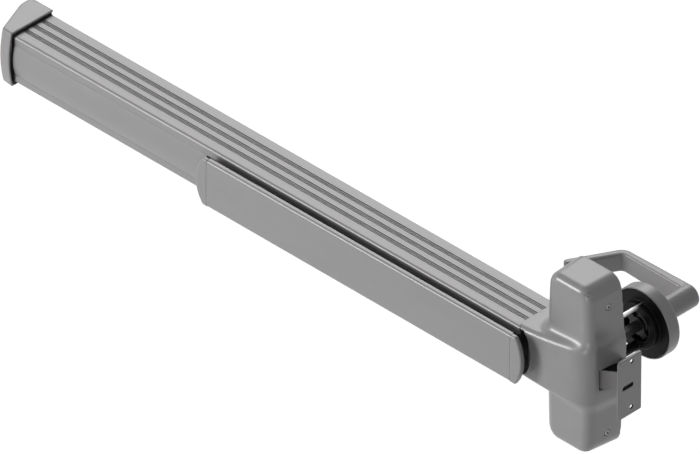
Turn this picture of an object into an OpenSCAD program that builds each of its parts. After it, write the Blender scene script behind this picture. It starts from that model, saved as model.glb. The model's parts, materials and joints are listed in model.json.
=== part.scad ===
// Push-rail exit device for a single door: rail with push pad, centre case with
// latch, rim strike on the jamb, and a round lever trim for the outside face.
// Frame: X runs along the bar towards the latch edge of the door, Y runs through
// the door from the room to the outside, Z is up. Y = 0 is the room face of the
// door, Z = 0 the centreline of the rail, and X = 0 the middle of the centre case.

/* [Rail] */
// Length of the rail
rail_len = 718; // [560:1:1100]
// Height of the rail
rail_h = 55.8; // [52:0.1:58]
// Depth of the rail from back to front
rail_d = 53; // [51:0.5:56]
// Gap between the door face and the back of the rail
rail_standoff = 2.7; // [1:0.1:3]
// Wall of the rail
rail_wall = 2.2; // [1.8:0.1:2.4]
// Height of each front lip, which is what shows above the filler
lip_h = 9.8; // [8:0.2:10.4]
// Radius of the two front edges of the rail
rail_edge_r = 2.5; // [1.5:0.1:3]
// Distance from the right end of the rail to the middle of the centre case
rail_end_offset = 44; // [43:0.5:48]

/* [Ribbed bands on the rail] */
// Number of ribbed bands on the top and on the underside
band_count = 3; // [1:1:3]
// Distance from the back of the rail to the first band
band_first = 10.5; // [6:0.5:12]
// Distance from one band to the next
band_pitch = 12; // [10:0.5:12]
// Number of grooves in a band
band_grooves = 3; // [1:1:4]
// Distance between grooves
groove_pitch = 2.3; // [1.8:0.1:2.4]
// Width of a groove
groove_w = 1.1; // [0.8:0.1:1.4]
// Depth of a groove
groove_depth = 0.5; // [0.3:0.1:0.8]

/* [Filler and end cap] */
// How far the crowned front of the filler stands in front of the rail
filler_crown = 2.7; // [1:0.1:3.5]
// Thickness of the filler
filler_t = 2; // [1.5:0.1:2.4]
// Length of the end cap along the bar
cap_len = 29; // [26:0.5:40]
// How far the end cap stands above the rail, and below it
cap_rise = 3.3; // [2:0.1:6]
// How far the end cap stands in front of the rail
cap_proud = 1.9; // [1.8:0.1:5]
// Bulge of the front of the end cap at mid height
cap_bulge = 3.8; // [1:0.1:6]
// Wall of the end cap
cap_wall = 2.5; // [1.5:0.1:3]
// Thickness of the black gasket between the rail and the end cap
gasket_t = 2; // [1.5:0.5:6]
// How far the gasket stands out round the rail
gasket_proud = 1.5; // [0.5:0.1:1.6]

/* [Push pad] */
// Length of the pad between its two end pieces
pad_len = 421; // [300:1:520]
// Distance from the right end of that length to the middle of the centre case
pad_end_offset = 50.6; // [50:0.2:56]
// How far the face of the pad stands in front of the rail
pad_proj = 17.7; // [17.4:0.1:22]
// Travel of the pad when it is pushed
pad_travel = 10; // [7:0.5:10]
// Depth of the pad's returns
pad_return = 6.3; // [5:0.1:6.5]
// Wall of the pad
pad_wall = 2.4; // [1.8:0.1:2.6]
// Crown of the pad's face
pad_crown = 0.8; // [0.3:0.1:1.2]
// Length of a pad end at mid height
pad_end_len = 15.7; // [15:0.1:17]
// Length of a pad end at its top and bottom corners
pad_end_corner = 7; // [6:0.1:9]
// Radius of the pad's edges
pad_edge_r = 2.2; // [1:0.1:2.4]
// Gap round the right end of the pad, in the cover
pad_gap = 3.5; // [3:0.1:4.5]

/* [Centre case] */
// Height of the cover
cover_h = 202.4; // [196:0.2:230]
// Height of the middle of the cover above the centreline of the rail
cover_rise = 1.8; // [1:0.2:8]
// How much lower the bottom of the cover is at the door than at its front
cover_fall = 3.6; // [1:0.2:5]
// Width of the cover at its front, near the top and the bottom
cover_w = 58; // [57.5:0.5:66]
// Depth of the cover's upright above the door face
cover_d = 44; // [44:0.5:50]
// How much wider the cover gets on each side towards the door
cover_draft = 2.4; // [1.5:0.1:4]
// How much each side of the cover swells at mid height, at the door
cover_swell = 4.6; // [2:0.1:6]
// Corner radius of the cover, seen from the front
cover_corner_r = 15; // [10:0.5:18]
// Radius of the front edges of the cover
cover_edge_r = 5.5; // [3:0.5:7]
// Wall of the cover
cover_wall = 2; // [1.6:0.1:2.2]
// Reach of the cover's saddle over the rail, from the middle of the case
saddle_reach = 57; // [55:0.5:62]
// Depth of the saddle above the door face, at its left end
saddle_d = 57.6; // [57.6:0.2:62]
// How much the saddle falls back towards the latch side
saddle_fall = 6; // [4:0.2:8]
// Thickness of the saddle's lip above the rail, and below it
saddle_lip = 1.2; // [0.8:0.1:3]
// Half height of the saddle at its right end
saddle_half = 35; // [32:0.5:42]
// Thickness of the chassis plate
chassis_t = 3; // [2.5:0.1:3.5]
// Width of the chassis plate
chassis_w = 54; // [50:0.5:54]
// Horizontal distance between the chassis screws
mount_x = 36; // [30:1:38]
// Vertical distance between the chassis screws
mount_z = 140; // [120:1:144]
// Radius of the holes for the chassis screws
mount_hole_r = 2.75; // [2.2:0.05:3.2]
// Distance between the two screws in the side of the cover
side_screw_span = 152; // [150:1:156]
// Distance of those screws from the door face
side_screw_y = 18.4; // [17:0.2:20]

/* [Latch] */
// Throw of the latch bolt
latch_throw = 18; // [14:0.5:18]
// Height of the latch bolt
latch_h = 22; // [18:0.5:22]
// Thickness of the latch bolt, front to back
latch_t = 21.5; // [20:0.5:22]
// Distance from the door face to the front of the latch bolt
latch_front = 33; // [32.5:0.1:34]
// Height of the middle of the latch bolt
latch_z = -3.5; // [-4:0.1:-3]
// Depth of the bevel at the tip of the latch bolt
latch_bevel = 12; // [8:0.5:13]
// Thickness of the low-friction shoe on the bevel
shoe_t = 1.6; // [1:0.1:2]

/* [Strike] */
// Width of the strike plate through the door frame
strike_w = 36.7; // [34:0.1:38]
// Height of the strike plate
strike_h = 70.8; // [66:0.2:76]
// Thickness of the strike plate
strike_t = 3.6; // [3:0.1:5]
// Distance from the middle of the centre case to the jamb
jamb_x = 63.6; // [62:0.1:66]
// Gap between the strike plate and the plane of the door face
strike_set = 4.4; // [3.5:0.1:4.8]
// Distance between the two screw holes
strike_span = 55; // [50:0.5:58]
// Radius of the screw holes, and half the width of the slot
strike_hole_r = 2.4; // [2:0.1:2.6]
// Length of the adjustment slot from end to end
strike_slot = 15.4; // [12:0.2:17]

/* [Outside trim] */
// Thickness of the door
door_t = 61; // [57:0.5:64]
// Radius of the rose
rose_r = 38.4; // [36:0.2:42]
// Thickness of the rose
rose_t = 15; // [15:0.5:18]
// Wall of the rose
rose_wall = 1.6; // [1.2:0.1:2]
// Radius of the hub that enters the door
hub_r = 25.4; // [25.2:0.1:26.5]
// Depth of the hub in the door
hub_in = 7; // [6.5:0.5:9]
// Radius of the lever's neck
neck_r = 12.5; // [11.5:0.1:13]
// Distance from the rose to the near face of the grip
grip_gap = 46; // [42:0.5:55]
// Height of the grip
grip_h = 19; // [16:0.5:21]
// Thickness of the grip
grip_t = 8.5; // [8:0.5:10]
// Thickness of the grip at the neck
grip_root_t = 10.5; // [9:0.5:14]
// Length of the grip from the spindle to its corner
grip_len = 87; // [80:1:110]
// Length of the return towards the door
return_len = 59; // [50:1:60]
// Distance between the two through bolts
bolt_span = 45; // [44.5:0.1:45.5]
// Radius of the through bolts
bolt_r = 2.4; // [2:0.1:2.6]

/* [Hidden] */
$fn = 48;
round_fn = 32;
eps = 0.01;
// Clearances: between parts at rest, round a sliding part, and round a pin
gap = 0.3;
slide_gap = 0.4;
pin_gap = 0.04;

// Places along Y, as distances in front of the door face
rail_back = rail_standoff;
rail_front = rail_standoff + rail_d;
rail_inner_back = rail_back + rail_wall;
rail_inner_front = rail_front - rail_wall;
pad_front = rail_front + pad_proj;
pad_back = pad_front - pad_return;

// Places along X
rail_x1 = -rail_end_offset;
rail_x0 = rail_x1 - rail_len;
pad_x1 = -pad_end_offset;
pad_x0 = pad_x1 - pad_len;
cap_x1 = rail_x0 - gasket_t - 2 * gap;
cap_x0 = cap_x1 - cap_len;

// Arc of the pad ends: its radius follows from its chord and its rise
pad_end_rise = pad_end_len - pad_end_corner;
pad_end_r = (pow(rail_h / 2, 2) + pow(pad_end_rise, 2)) / (2 * pad_end_rise);
pad_end_depth = pad_proj - pad_travel - 0.7;

// Opening between the lips of the rail
open_h = rail_h - 2 * lip_h;

// Tray and the links of the mechanism
tray_t = 2;
tray_front = rail_inner_back + gap / 2 + tray_t;
crank_swing = 20;
crank_depth = 36.5;
crank_y = rail_back + crank_depth;
crank_t = 8;
crank_hub_r = 6.5;
crank_pin_r = 3;
drive_pin_r = 2.5;
arm_w = 9;
pad_arm = pad_travel / 2 / tan(crank_swing);
link_arm = latch_throw / 2 / tan(crank_swing);
slot_wall = 2.2;
web_z = crank_t / 2 + 1.2;
web_t = 3;
bracket_z = web_z + web_t + 0.8;
bracket_t = 2.5;
link_z = crank_t / 2 + 0.6;
link_t = 3;
link_w = 8.6;
link_y = crank_y - link_arm;
crank_left_x = pad_x0 + 70;
crank_right_x = pad_x1 - 110;
carrier_x = pad_arm;
spring_x = carrier_x + 22;
spring_r = 3.2;
spring_wire = 0.6;
cup_y = crank_y + pad_travel / 2 - 2;
cup_t = 3;

// Centre case
cover_top = cover_rise + cover_h / 2;
cover_bottom = cover_rise - cover_h / 2;
side_x = cover_w / 2;
latch_top = latch_z + latch_h / 2;
latch_bottom = latch_z - latch_h / 2;
latch_back = latch_front - latch_t;
latch_root = side_x + cover_draft + 0.4;
latch_tip = latch_root + latch_throw;
latch_head_x = 4;
tail_front = 22;
tail_back = 16;
tail_x0 = latch_head_x - latch_throw - 10;
tail_top = latch_top - 4;
tail_bottom = latch_bottom + 3.5;
tail_wall = 2;
tail_bar = 3;
finger_w = 3.7;
case_wall = 2.5;
case_x0 = 8;
case_x1 = side_x - cover_wall - 1;
stop_x = tail_x0 - 2 - case_wall;
chassis_top = cover_top - 15;
chassis_bottom = cover_bottom + 12;
ear_t = 2.6;
ear_h = 12;
side_screw_r = 2;
side_head_r = 3.3;
side_seat_x = side_x + 0.1;
strike_z = -3;
strike_hole_y = 18.2;
strike_hole_z = -0.5;
strike_slot_y = 23.3;
keeper_t = 6.6;
keeper_x0 = latch_root + 6.6;

// Outside trim, as distances behind the door face
hub_face = door_t - hub_in;
rose_face = door_t + rose_t;
plate_t = 3.7;
journal_r = 10;
recess_r = 17;
recess_floor = door_t + 1;
boss_r = 14;
boss_end = rose_face - rose_wall - gap;
grip_y = rose_face + grip_gap;
spindle_w = 8;
cam_t = 5;
spindle_in = chassis_t + 1 + cam_t;
cam_r = 7.3;
return_lean = 27;
lever_bend_r = 10;
bolt_head_r = 4.4;
bolt_head_t = 2.6;
post_r = 5.2;
post_in = 20;
lever_coil_r = 19;
lever_wire = 1.5;

// Draws a front view: x is X, y is Z, and height is the distance in front of the door face
module front() {
  rotate([90, 0, 0]) children();
}

// Extrudes a section along X: x of the section is the distance in front of the door, y is Z
module along_x(x0, length) {
  translate([x0, 0, 0]) rotate([90, 0, 90]) linear_extrude(length) mirror([1, 0]) children();
}

// Rectangle between two corners
module rect(x0, y0, x1, y1) {
  translate([x0, y0]) square([x1 - x0, y1 - y0]);
}

// Block between two corners, in the part's frame
module block(x0, y0, z0, x1, y1, z1) {
  translate([x0, y0, z0]) cube([x1 - x0, y1 - y0, z1 - z0]);
}

// Rectangle with rounded corners
module round_rect(x0, y0, x1, y1, r) {
  rect(x0 + r, y0, x1 - r, y1);
  rect(x0, y0 + r, x1, y1 - r);
  for (x = [x0 + r, x1 - r])
    for (y = [y0 + r, y1 - r])
      translate([x, y]) circle(r);
}

// Slot with round ends between two points on one horizontal line
module slot_2d(x0, x1, r) {
  rect(x0, -r, x1, r);
  for (x = [x0, x1])
    translate([x, 0]) circle(r);
}

// Disc whose upper edge is rounded, with its base on the XY plane
module rounded_disc(r, h, edge) {
  rotate_extrude($fn = round_fn) {
    rect(0, 0, r - edge, h);
    rect(0, 0, r, h - edge);
    translate([r - edge, h - edge]) intersection() {
      circle(edge, $fn = round_fn);
      square(edge);
    }
  }
}

// Radius of an arc with a given chord and rise
function arc_r(chord, rise) = (chord * chord / 4 + rise * rise) / (2 * rise);

// Points of a coil: one ring of a round wire at each step
coil_steps = 12;
coil_sides = 6;
function coil_point(r, wire, length, turns, i, k) =
  let (
    turn = 360 * i / coil_steps,
    side = 360 * k / coil_sides,
    reach = r + wire * cos(side),
    rise = (length - 2 * wire) * i / (turns * coil_steps) + wire
  )
  [reach * cos(turn), reach * sin(turn), rise + wire * sin(side)];

// Faces of a closed tube of rings, joined in order, with a flat face at each end
function tube_faces(rings, sides) = concat(
  [for (i = [0:rings - 2])
    for (k = [0:sides - 1])
      let (n = (k + 1) % sides, a = i * sides, b = a + sides)
      for (face = [[a + k, b + k, b + n], [a + k, b + n, a + n]])
        face],
  [for (k = [1:sides - 2]) [0, k, k + 1]],
  [for (k = [1:sides - 2]) let (a = (rings - 1) * sides) [a, a + k + 1, a + k]]
);

// Coil spring of round wire along Z, as one unbroken tube with flat ends
module coil(r, wire, length, turns) {
  last = turns * coil_steps;
  points = [
    for (i = [0:last])
      for (k = [0:coil_sides - 1])
        coil_point(r, wire, length, turns, i, k)
  ];
  polyhedron(points, tube_faces(last + 1, coil_sides), convexity = 10);
}

// Rail

module rail_outline() {
  round_rect(rail_back, -rail_h / 2, rail_front, rail_h / 2, rail_edge_r);
  rect(rail_back, -rail_h / 2, rail_back + 2 * rail_edge_r, rail_h / 2);
}

module band_groove_section() {
  for (b = [0:band_count - 1])
    for (g = [0:band_grooves - 1])
      let (y = rail_back + band_first + b * band_pitch + (g + 0.5) * groove_pitch)
      for (side = [-1, 1])
        translate([y - groove_w / 2, side * rail_h / 2 - groove_depth])
          square([groove_w, 2 * groove_depth]);
}

module rail() {
  color([0.66, 0.66, 0.67])
  along_x(rail_x0, rail_len) difference() {
    rail_outline();
    rect(rail_inner_back, -rail_h / 2 + rail_wall, rail_inner_front, rail_h / 2 - rail_wall);
    rect(rail_inner_front - eps, -open_h / 2, rail_front + eps, open_h / 2);
    band_groove_section();
  }
}

// Crowned plate between the lips, with a flange behind each of them
module filler_section() {
  face_h = open_h - 2 * gap;
  r = arc_r(face_h, filler_crown);
  top = rail_front + filler_crown;
  flange_y = rail_inner_front - gap;
  inner_half = face_h / 2 - filler_t;
  difference() {
    intersection() {
      translate([top - r, 0]) circle(r, $fn = 192);
      rect(flange_y - filler_t, -face_h / 2, top + 1, face_h / 2);
    }
    intersection() {
      translate([top - r, 0]) circle(r - filler_t, $fn = 192);
      rect(flange_y - filler_t - 1, -inner_half, top, inner_half);
    }
  }
  flange_h = open_h / 2 + lip_h / 2 - inner_half;
  for (z = [inner_half, -inner_half - flange_h])
    rect(flange_y - filler_t, z, flange_y, z + flange_h);
}

module rail_filler() {
  x0 = rail_x0 + gap;
  x1 = pad_x0 - pad_end_corner;
  color([0.68, 0.68, 0.69])
  difference() {
    along_x(x0, x1 - x0) filler_section();
    translate([pad_x0 - pad_end_len + pad_end_r, 0, 0])
      front() cylinder(r = pad_end_r + pad_gap, h = rail_front + filler_crown + 1, $fn = 192);
  }
}

// End cap: plan of one level, swept forwards by the bulge of the front
module cap_level(z, bulge, inset) {
  x1 = cap_x1 + (inset > 0 ? 1 : 0);
  x0 = cap_x0 + inset;
  y0 = -(rail_front + cap_proud + bulge - inset);
  slope_x = cap_len * 0.44;
  slope_y = cap_len * 1.3;
  flat_y = inset > 0 ? 1 : 0;
  translate([0, 0, z]) linear_extrude(eps) polygon([
    [x1, y0],
    [x1 - slope_x + inset / 2, y0 + 1.5],
    [x0, y0 + slope_y],
    [x0, flat_y - 2.5],
    [x0 + 6, flat_y],
    [x1, flat_y]
  ]);
}

module cap_form(inset) {
  half = rail_h / 2 + cap_rise - inset;
  edge = 2;
  hull() {
    for (side = [-1, 1]) {
      cap_level(side * half, -edge, inset);
      cap_level(side * (half - edge), 0, inset);
      for (share = [0.35, 0.7])
        cap_level(side * half * share, cap_bulge * (1 - share * share), inset);
    }
    cap_level(0, cap_bulge, inset);
  }
}

module end_cap() {
  color([0.66, 0.66, 0.67])
  difference() {
    cap_form(0);
    cap_form(cap_wall);
    translate([cap_x0 - 1, -cap_screw_y, 0]) rotate([0, 90, 0])
      cylinder(r = cap_screw_r + 0.25, h = cap_wall + 2);
  }
}

// Screw through the outer wall of the end cap into the lug of its bracket
module cap_screw() {
  color([0.6, 0.6, 0.6])
  translate([cap_x0 - 0.02, -cap_screw_y, 0]) rotate([0, 90, 0]) difference() {
    union() {
      translate([0, 0, -2.2]) cylinder(r = 3.6, h = 2.2);
      translate([0, 0, -0.5]) cylinder(r = cap_screw_r, h = 12);
    }
    translate([0, 0, -3]) cylinder(r = 1.7, h = 2, $fn = 6);
  }
}

module end_gasket() {
  half = rail_h / 2 + gasket_proud;
  color([0.07, 0.07, 0.07])
  along_x(rail_x0 - gap - gasket_t, gasket_t) difference() {
    round_rect(rail_back, -half, rail_front + gasket_proud, half, rail_edge_r);
    round_rect(rail_back - 5, -bracket_tongue_h / 2 - gap, rail_inner_back + 8, bracket_tongue_h / 2 + gap, 2);
  }
}

// Bracket on the door under the end cap; its tongue enters the rail
bracket_tongue_h = 36;
bracket_foot_h = 46;
bracket_t0 = 3;
bracket_span = 30;
bracket_x = cap_x1 - cap_len * 0.45;
cap_screw_y = 11;
cap_screw_r = 2;

module end_bracket() {
  tongue_y0 = rail_inner_back + gap / 2;
  tongue_y1 = tongue_y0 + bracket_t0;
  foot_x0 = cap_x0 + cap_wall + 4;
  foot_x1 = cap_x1 - 1;
  color([0.45, 0.45, 0.46])
  difference() {
    union() {
      block(foot_x0, -bracket_t0, -bracket_foot_h / 2, foot_x1, 0, bracket_foot_h / 2);
      block(foot_x1 - bracket_t0, -tongue_y1, -bracket_tongue_h / 2, foot_x1, 0, bracket_tongue_h / 2);
      block(foot_x1 - bracket_t0, -tongue_y1, -bracket_tongue_h / 2,
        rail_x0 + 40, -tongue_y0, bracket_tongue_h / 2);
      block(foot_x0, -cap_screw_y - 5, -8, foot_x0 + bracket_t0, 0, 8);
    }
    translate([foot_x0 - 1, -cap_screw_y, 0]) rotate([0, 90, 0])
      cylinder(r = cap_screw_r + pin_gap, h = bracket_t0 + 2);
    for (side = [-1, 1])
      translate([bracket_x, 1, side * bracket_span / 2])
        front() cylinder(r = mount_hole_r, h = bracket_t0 + 2);
  }
}

// Push pad

module pad_outline(depth) {
  r = arc_r(rail_h, pad_crown);
  intersection() {
    round_rect(pad_front - 2 * pad_return, -rail_h / 2, pad_front, rail_h / 2, pad_edge_r);
    translate([pad_front - r, 0]) circle(r, $fn = 360);
    rect(pad_front - depth, -rail_h / 2, pad_front + 1, rail_h / 2);
  }
}

// Two ribs on the back of the pad's face hold the carriers
rib_h = 22;
rib_t = 1.8;

module push_pad() {
  inner = rail_h / 2 - pad_wall;
  color([0.66, 0.66, 0.67])
  along_x(pad_x0, pad_len) {
    difference() {
      pad_outline(pad_return);
      rect(pad_back - 1, -inner, pad_front - pad_wall - pad_crown, inner);
    }
    for (z = [rib_h / 2, -rib_h / 2 - rib_t])
      rect(pad_back, z, pad_front - pad_wall, z + rib_t);
  }
}

// End piece: the pad's own section cut by an arc, and a plug inside the pad
module pad_end() {
  arc_x = pad_end_len - pad_end_r;
  plug = rail_h / 2 - pad_wall - gap / 2;
  intersection() {
    along_x(0, pad_end_len + 1) pad_outline(pad_end_depth);
    translate([arc_x, 0, 0]) front()
      rotate_extrude($fn = 192) {
        rect(0, 0, pad_end_r - pad_edge_r, pad_front);
        rect(0, 0, pad_end_r, pad_front - pad_edge_r);
        translate([pad_end_r - pad_edge_r, pad_front - pad_edge_r]) circle(pad_edge_r);
      }
  }
  for (side = [-1, 1])
    scale([1, 1, side])
      block(-10, -(pad_front - pad_wall - pad_crown - gap / 2), rib_h / 2 + rib_t + gap,
        0, -pad_back, plug);
}

module pad_end_left() {
  color([0.62, 0.62, 0.63])
  translate([pad_x0, 0, 0]) mirror([1, 0, 0]) pad_end();
}

module pad_end_right() {
  color([0.62, 0.62, 0.63])
  translate([pad_x1, 0, 0]) pad_end();
}

// Carrier: foot between the pad's ribs, two webs through the rail's opening, a spring cup
module pad_carrier() {
  foot_y = pad_front - pad_wall - pad_crown - gap / 2;
  foot_h = rib_h - 2 * gap;
  web_x0 = carrier_x - 6;
  web_x1 = spring_x + 6;
  web_back = crank_y + pad_travel / 2 - 6;
  difference() {
    union() {
      block(web_x0 - 8, -foot_y, -foot_h / 2, web_x1 + 8, -(foot_y - 3), foot_h / 2);
      for (side = [-1, 1])
        scale([1, 1, side])
          block(web_x0, -foot_y, web_z, web_x1, -web_back, web_z + web_t);
      block(web_x1 - 12, -(cup_y + cup_t), -web_z - web_t, web_x1, -cup_y, web_z + web_t);
    }
    translate([carrier_x, -crank_y - pad_travel / 2, -50]) cylinder(r = drive_pin_r + pin_gap, h = 100);
  }
}

module pad_carrier_left() {
  color([0.4, 0.4, 0.42])
  translate([crank_left_x, 0, 0]) pad_carrier();
}

module pad_carrier_right() {
  color([0.4, 0.4, 0.42])
  translate([crank_right_x, 0, 0]) pad_carrier();
}

module carrier_pins() {
  color([0.8, 0.8, 0.8])
  for (x = [crank_left_x, crank_right_x])
    translate([x + carrier_x, -crank_y - pad_travel / 2, -web_z - web_t])
      cylinder(r = drive_pin_r, h = 2 * (web_z + web_t));
}

module pad_spring(x) {
  color([0.75, 0.75, 0.76])
  translate([x + spring_x, -tray_front - 0.1, 0])
    front() coil(spring_r, spring_wire, cup_y - tray_front - 0.2, 9);
}

module pad_spring_left() {
  pad_spring(crank_left_x);
}

module pad_spring_right() {
  pad_spring(crank_right_x);
}

// Mechanism in the rail

module mechanism_tray() {
  half = rail_h / 2 - rail_wall - 2.5;
  color([0.5, 0.5, 0.52])
  block(crank_left_x - 45, -tray_front, -half, crank_right_x + 60, -(tray_front - tray_t), half);
}

// Two plates on feet, joined on the far side from the arms
module crank_bracket() {
  half_x = 9;
  front_y = crank_y + 7;
  foot_z = rail_h / 2 - rail_wall - 4;
  difference() {
    union() {
      for (side = [-1, 1])
        scale([1, 1, side]) {
          block(-half_x, -front_y, bracket_z, half_x, -tray_front, bracket_z + bracket_t);
          block(-half_x, -(tray_front + 2), bracket_z, half_x, -tray_front, foot_z);
        }
      block(-half_x, -front_y, -bracket_z, -half_x + 1.8, -(crank_y - 1), bracket_z);
    }
    translate([0, -crank_y, -50]) cylinder(r = crank_pin_r + pin_gap, h = 100);
  }
}

module crank_bracket_left() {
  color([0.5, 0.5, 0.52])
  translate([crank_left_x, 0, 0]) crank_bracket();
}

module crank_bracket_right() {
  color([0.5, 0.5, 0.52])
  translate([crank_right_x, 0, 0]) crank_bracket();
}

module crank_pins() {
  half = bracket_z + bracket_t + 0.5;
  color([0.8, 0.8, 0.8])
  for (x = [crank_left_x, crank_right_x])
    translate([x, -crank_y, -half]) cylinder(r = crank_pin_r, h = 2 * half);
}

// Slotted arm from the hub, along +X of its own frame
module crank_arm(reach) {
  play = gap;
  near = reach;
  far = reach / cos(crank_swing);
  end_x = far + drive_pin_r + play + slot_wall - arm_w / 2;
  difference() {
    slot_2d(0, end_x, arm_w / 2);
    slot_2d(near - play, far + play, drive_pin_r + play);
  }
}

// Bell crank at rest: both arms lie turned back by half the swing
module bell_crank() {
  difference() {
    union() {
      translate([0, 0, -crank_t / 2]) linear_extrude(crank_t) {
        crank_arm(pad_arm);
        rotate(90) crank_arm(link_arm);
      }
      translate([0, 0, -bracket_z + gap]) cylinder(r = crank_hub_r, h = 2 * (bracket_z - gap));
    }
    translate([0, 0, -50]) cylinder(r = crank_pin_r + pin_gap, h = 100);
  }
}

module bell_crank_left() {
  color([0.55, 0.55, 0.56])
  translate([crank_left_x, -crank_y, 0]) rotate(-crank_swing) bell_crank();
}

module bell_crank_right() {
  color([0.55, 0.55, 0.56])
  translate([crank_right_x, -crank_y, 0]) rotate(-crank_swing) bell_crank();
}

// Link: flat bar above the cranks, which pulls the retractor finger
link_pin_x = latch_throw / 2;
finger_x0 = tail_x0 + tail_wall + gap;
link_x1 = finger_x0 + finger_w;

module link_bar() {
  x0 = crank_left_x + link_pin_x - 8;
  color([0.6, 0.6, 0.61])
  difference() {
    block(x0, -(link_y + link_w / 2), link_z, link_x1, -(link_y - link_w / 2), link_z + link_t);
    for (x = [crank_left_x, crank_right_x])
      translate([x + link_pin_x, -link_y, 0]) cylinder(r = drive_pin_r + pin_gap, h = 20);
  }
}

module link_pins() {
  color([0.8, 0.8, 0.8])
  for (x = [crank_left_x, crank_right_x])
    translate([x + link_pin_x, -link_y, -crank_t / 2]) cylinder(r = drive_pin_r, h = crank_t / 2 + link_z + link_t);
}

// Finger under the end of the link, through the slot in the latch's tail
module retractor_finger() {
  leg_y = tail_back - slide_gap;
  finger_bottom = tail_bottom + tail_bar + slide_gap;
  finger_top = tail_top - tail_bar - slide_gap;
  color([0.55, 0.55, 0.56]) {
    block(finger_x0, -leg_y, finger_bottom, link_x1, -(leg_y - 4), link_z);
    block(finger_x0, -(tail_front + 1.5), finger_bottom, link_x1, -(leg_y - 1), finger_top);
  }
}

// Centre case

module chassis_ear(z) {
  x1 = chassis_w / 2;
  difference() {
    block(x1 - ear_t, -(side_screw_y + 7), z - ear_h / 2, x1, -chassis_t + eps, z + ear_h / 2);
    translate([x1 - ear_t - 1, -side_screw_y, z]) rotate([0, 90, 0])
      cylinder(r = side_screw_r + pin_gap, h = ear_t + 2);
  }
}

// Tongue on the chassis that enters the right end of the rail, with its two screws
tongue_x0 = rail_x1 - 46;
tongue_screw_x = -22;
tongue_screw_z = 11;
tongue_screw_r = 1.6;

module rail_tongue() {
  y0 = rail_inner_back + gap / 2;
  y1 = y0 + bracket_t0;
  half = bracket_tongue_h / 2;
  color([0.45, 0.45, 0.46])
  difference() {
    union() {
      block(-chassis_w / 2, -y1, -half, tongue_screw_x + 5, -chassis_t, half);
      block(tongue_x0, -y1, -half, -chassis_w / 2 + 1, -y0, half);
    }
    for (z = [-1, 1])
      translate([tongue_screw_x, 1, z * tongue_screw_z]) front()
        cylinder(r = tongue_screw_r + pin_gap, h = y1 + 2);
  }
}

module tongue_screws() {
  head_y = rail_inner_back + gap / 2 + bracket_t0 + 0.02;
  color([0.7, 0.7, 0.7])
  for (z = [-1, 1])
    translate([tongue_screw_x, -0.4, z * tongue_screw_z]) front() {
      cylinder(r = tongue_screw_r, h = head_y);
      translate([0, 0, head_y - 0.4]) cylinder(r = 2.9, h = 1.4);
    }
}

module chassis_plate() {
  color([0.5, 0.5, 0.52]) {
    front() difference() {
      linear_extrude(chassis_t)
        round_rect(-chassis_w / 2, chassis_bottom, chassis_w / 2, chassis_top, 4);
      for (x = [-1, 1])
        for (z = [-1, 1])
          translate([x * mount_x / 2, z * mount_z / 2, -1]) cylinder(r = mount_hole_r, h = chassis_t + 2);
      for (z = [-1, 1])
        translate([tongue_screw_x, z * tongue_screw_z, -1])
          cylinder(r = tongue_screw_r + pin_gap, h = chassis_t + 2);
      translate([0, 0, -1]) cylinder(r = spindle_w, h = chassis_t + 2);
      for (z = [-1, 1])
        translate([0, z * bolt_span / 2, -1]) cylinder(r = bolt_r + pin_gap, h = chassis_t + 2);
    }
    for (z = [-1, 1])
      chassis_ear(z * side_screw_span / 2);
  }
}

// Housing that guides the latch bolt, with a stop for its spring
module latch_case() {
  top = latch_top + slide_gap;
  bottom = latch_bottom - slide_gap;
  front_y = latch_front + slide_gap + case_wall;
  stop_y0 = tail_front + 2.2;
  color([0.42, 0.42, 0.44]) {
    block(case_x0, -front_y, top, case_x1, -chassis_t, top + case_wall);
    block(case_x0, -front_y, bottom - case_wall, case_x1, -chassis_t, bottom);
    block(case_x0, -front_y, bottom - case_wall, case_x1, -(front_y - case_wall), top + case_wall);
    block(stop_x, -(latch_front - 2), bottom - case_wall, case_x0 + 1, -stop_y0, bottom);
    block(stop_x, -(latch_front - 2), bottom - case_wall, stop_x + case_wall, -stop_y0, tail_top);
  }
}

// Latch bolt: bevelled head, and a slotted tail that gives the retractor its lost motion
module latch_plan(shoe) {
  skin = shoe ? 0 : shoe_t;
  polygon([
    [latch_head_x, -latch_front],
    [latch_root - 3, -latch_front],
    [latch_root - 3, -latch_front + skin],
    [latch_root, -latch_front + skin],
    [latch_tip, -latch_front + latch_bevel + skin],
    [latch_tip, -latch_back],
    [latch_head_x, -latch_back]
  ]);
}

module latch_bolt() {
  slot_x0 = tail_x0 + tail_wall;
  slot_x1 = slot_x0 + finger_w + latch_throw + 2 * gap;
  color([0.08, 0.08, 0.08]) {
    translate([0, 0, latch_bottom]) linear_extrude(latch_h) latch_plan(false);
    difference() {
      block(tail_x0, -tail_front, tail_bottom, latch_head_x + 1, -tail_back, tail_top);
      block(slot_x0, -tail_front - 1, tail_bottom + tail_bar,
        min(slot_x1, latch_head_x), -tail_back + 1, tail_top - tail_bar);
    }
  }
}

module latch_shoe() {
  color([0.6, 0.6, 0.6])
  translate([0, 0, latch_bottom]) linear_extrude(latch_h) polygon([
    [latch_root - 3 + gap / 3, -latch_front],
    [latch_root, -latch_front],
    [latch_tip, -latch_front + latch_bevel],
    [latch_tip, -latch_front + latch_bevel + shoe_t],
    [latch_root, -latch_front + shoe_t],
    [latch_root - 3 + gap / 3, -latch_front + shoe_t]
  ]);
}

module latch_spring() {
  x0 = stop_x + case_wall + 0.1;
  color([0.75, 0.75, 0.76])
  translate([x0, -(tail_front + latch_front) / 2 - 0.5, latch_z]) rotate([0, 90, 0])
    coil(3.4, 0.5, latch_head_x - 0.1 - x0, 10);
}

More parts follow.
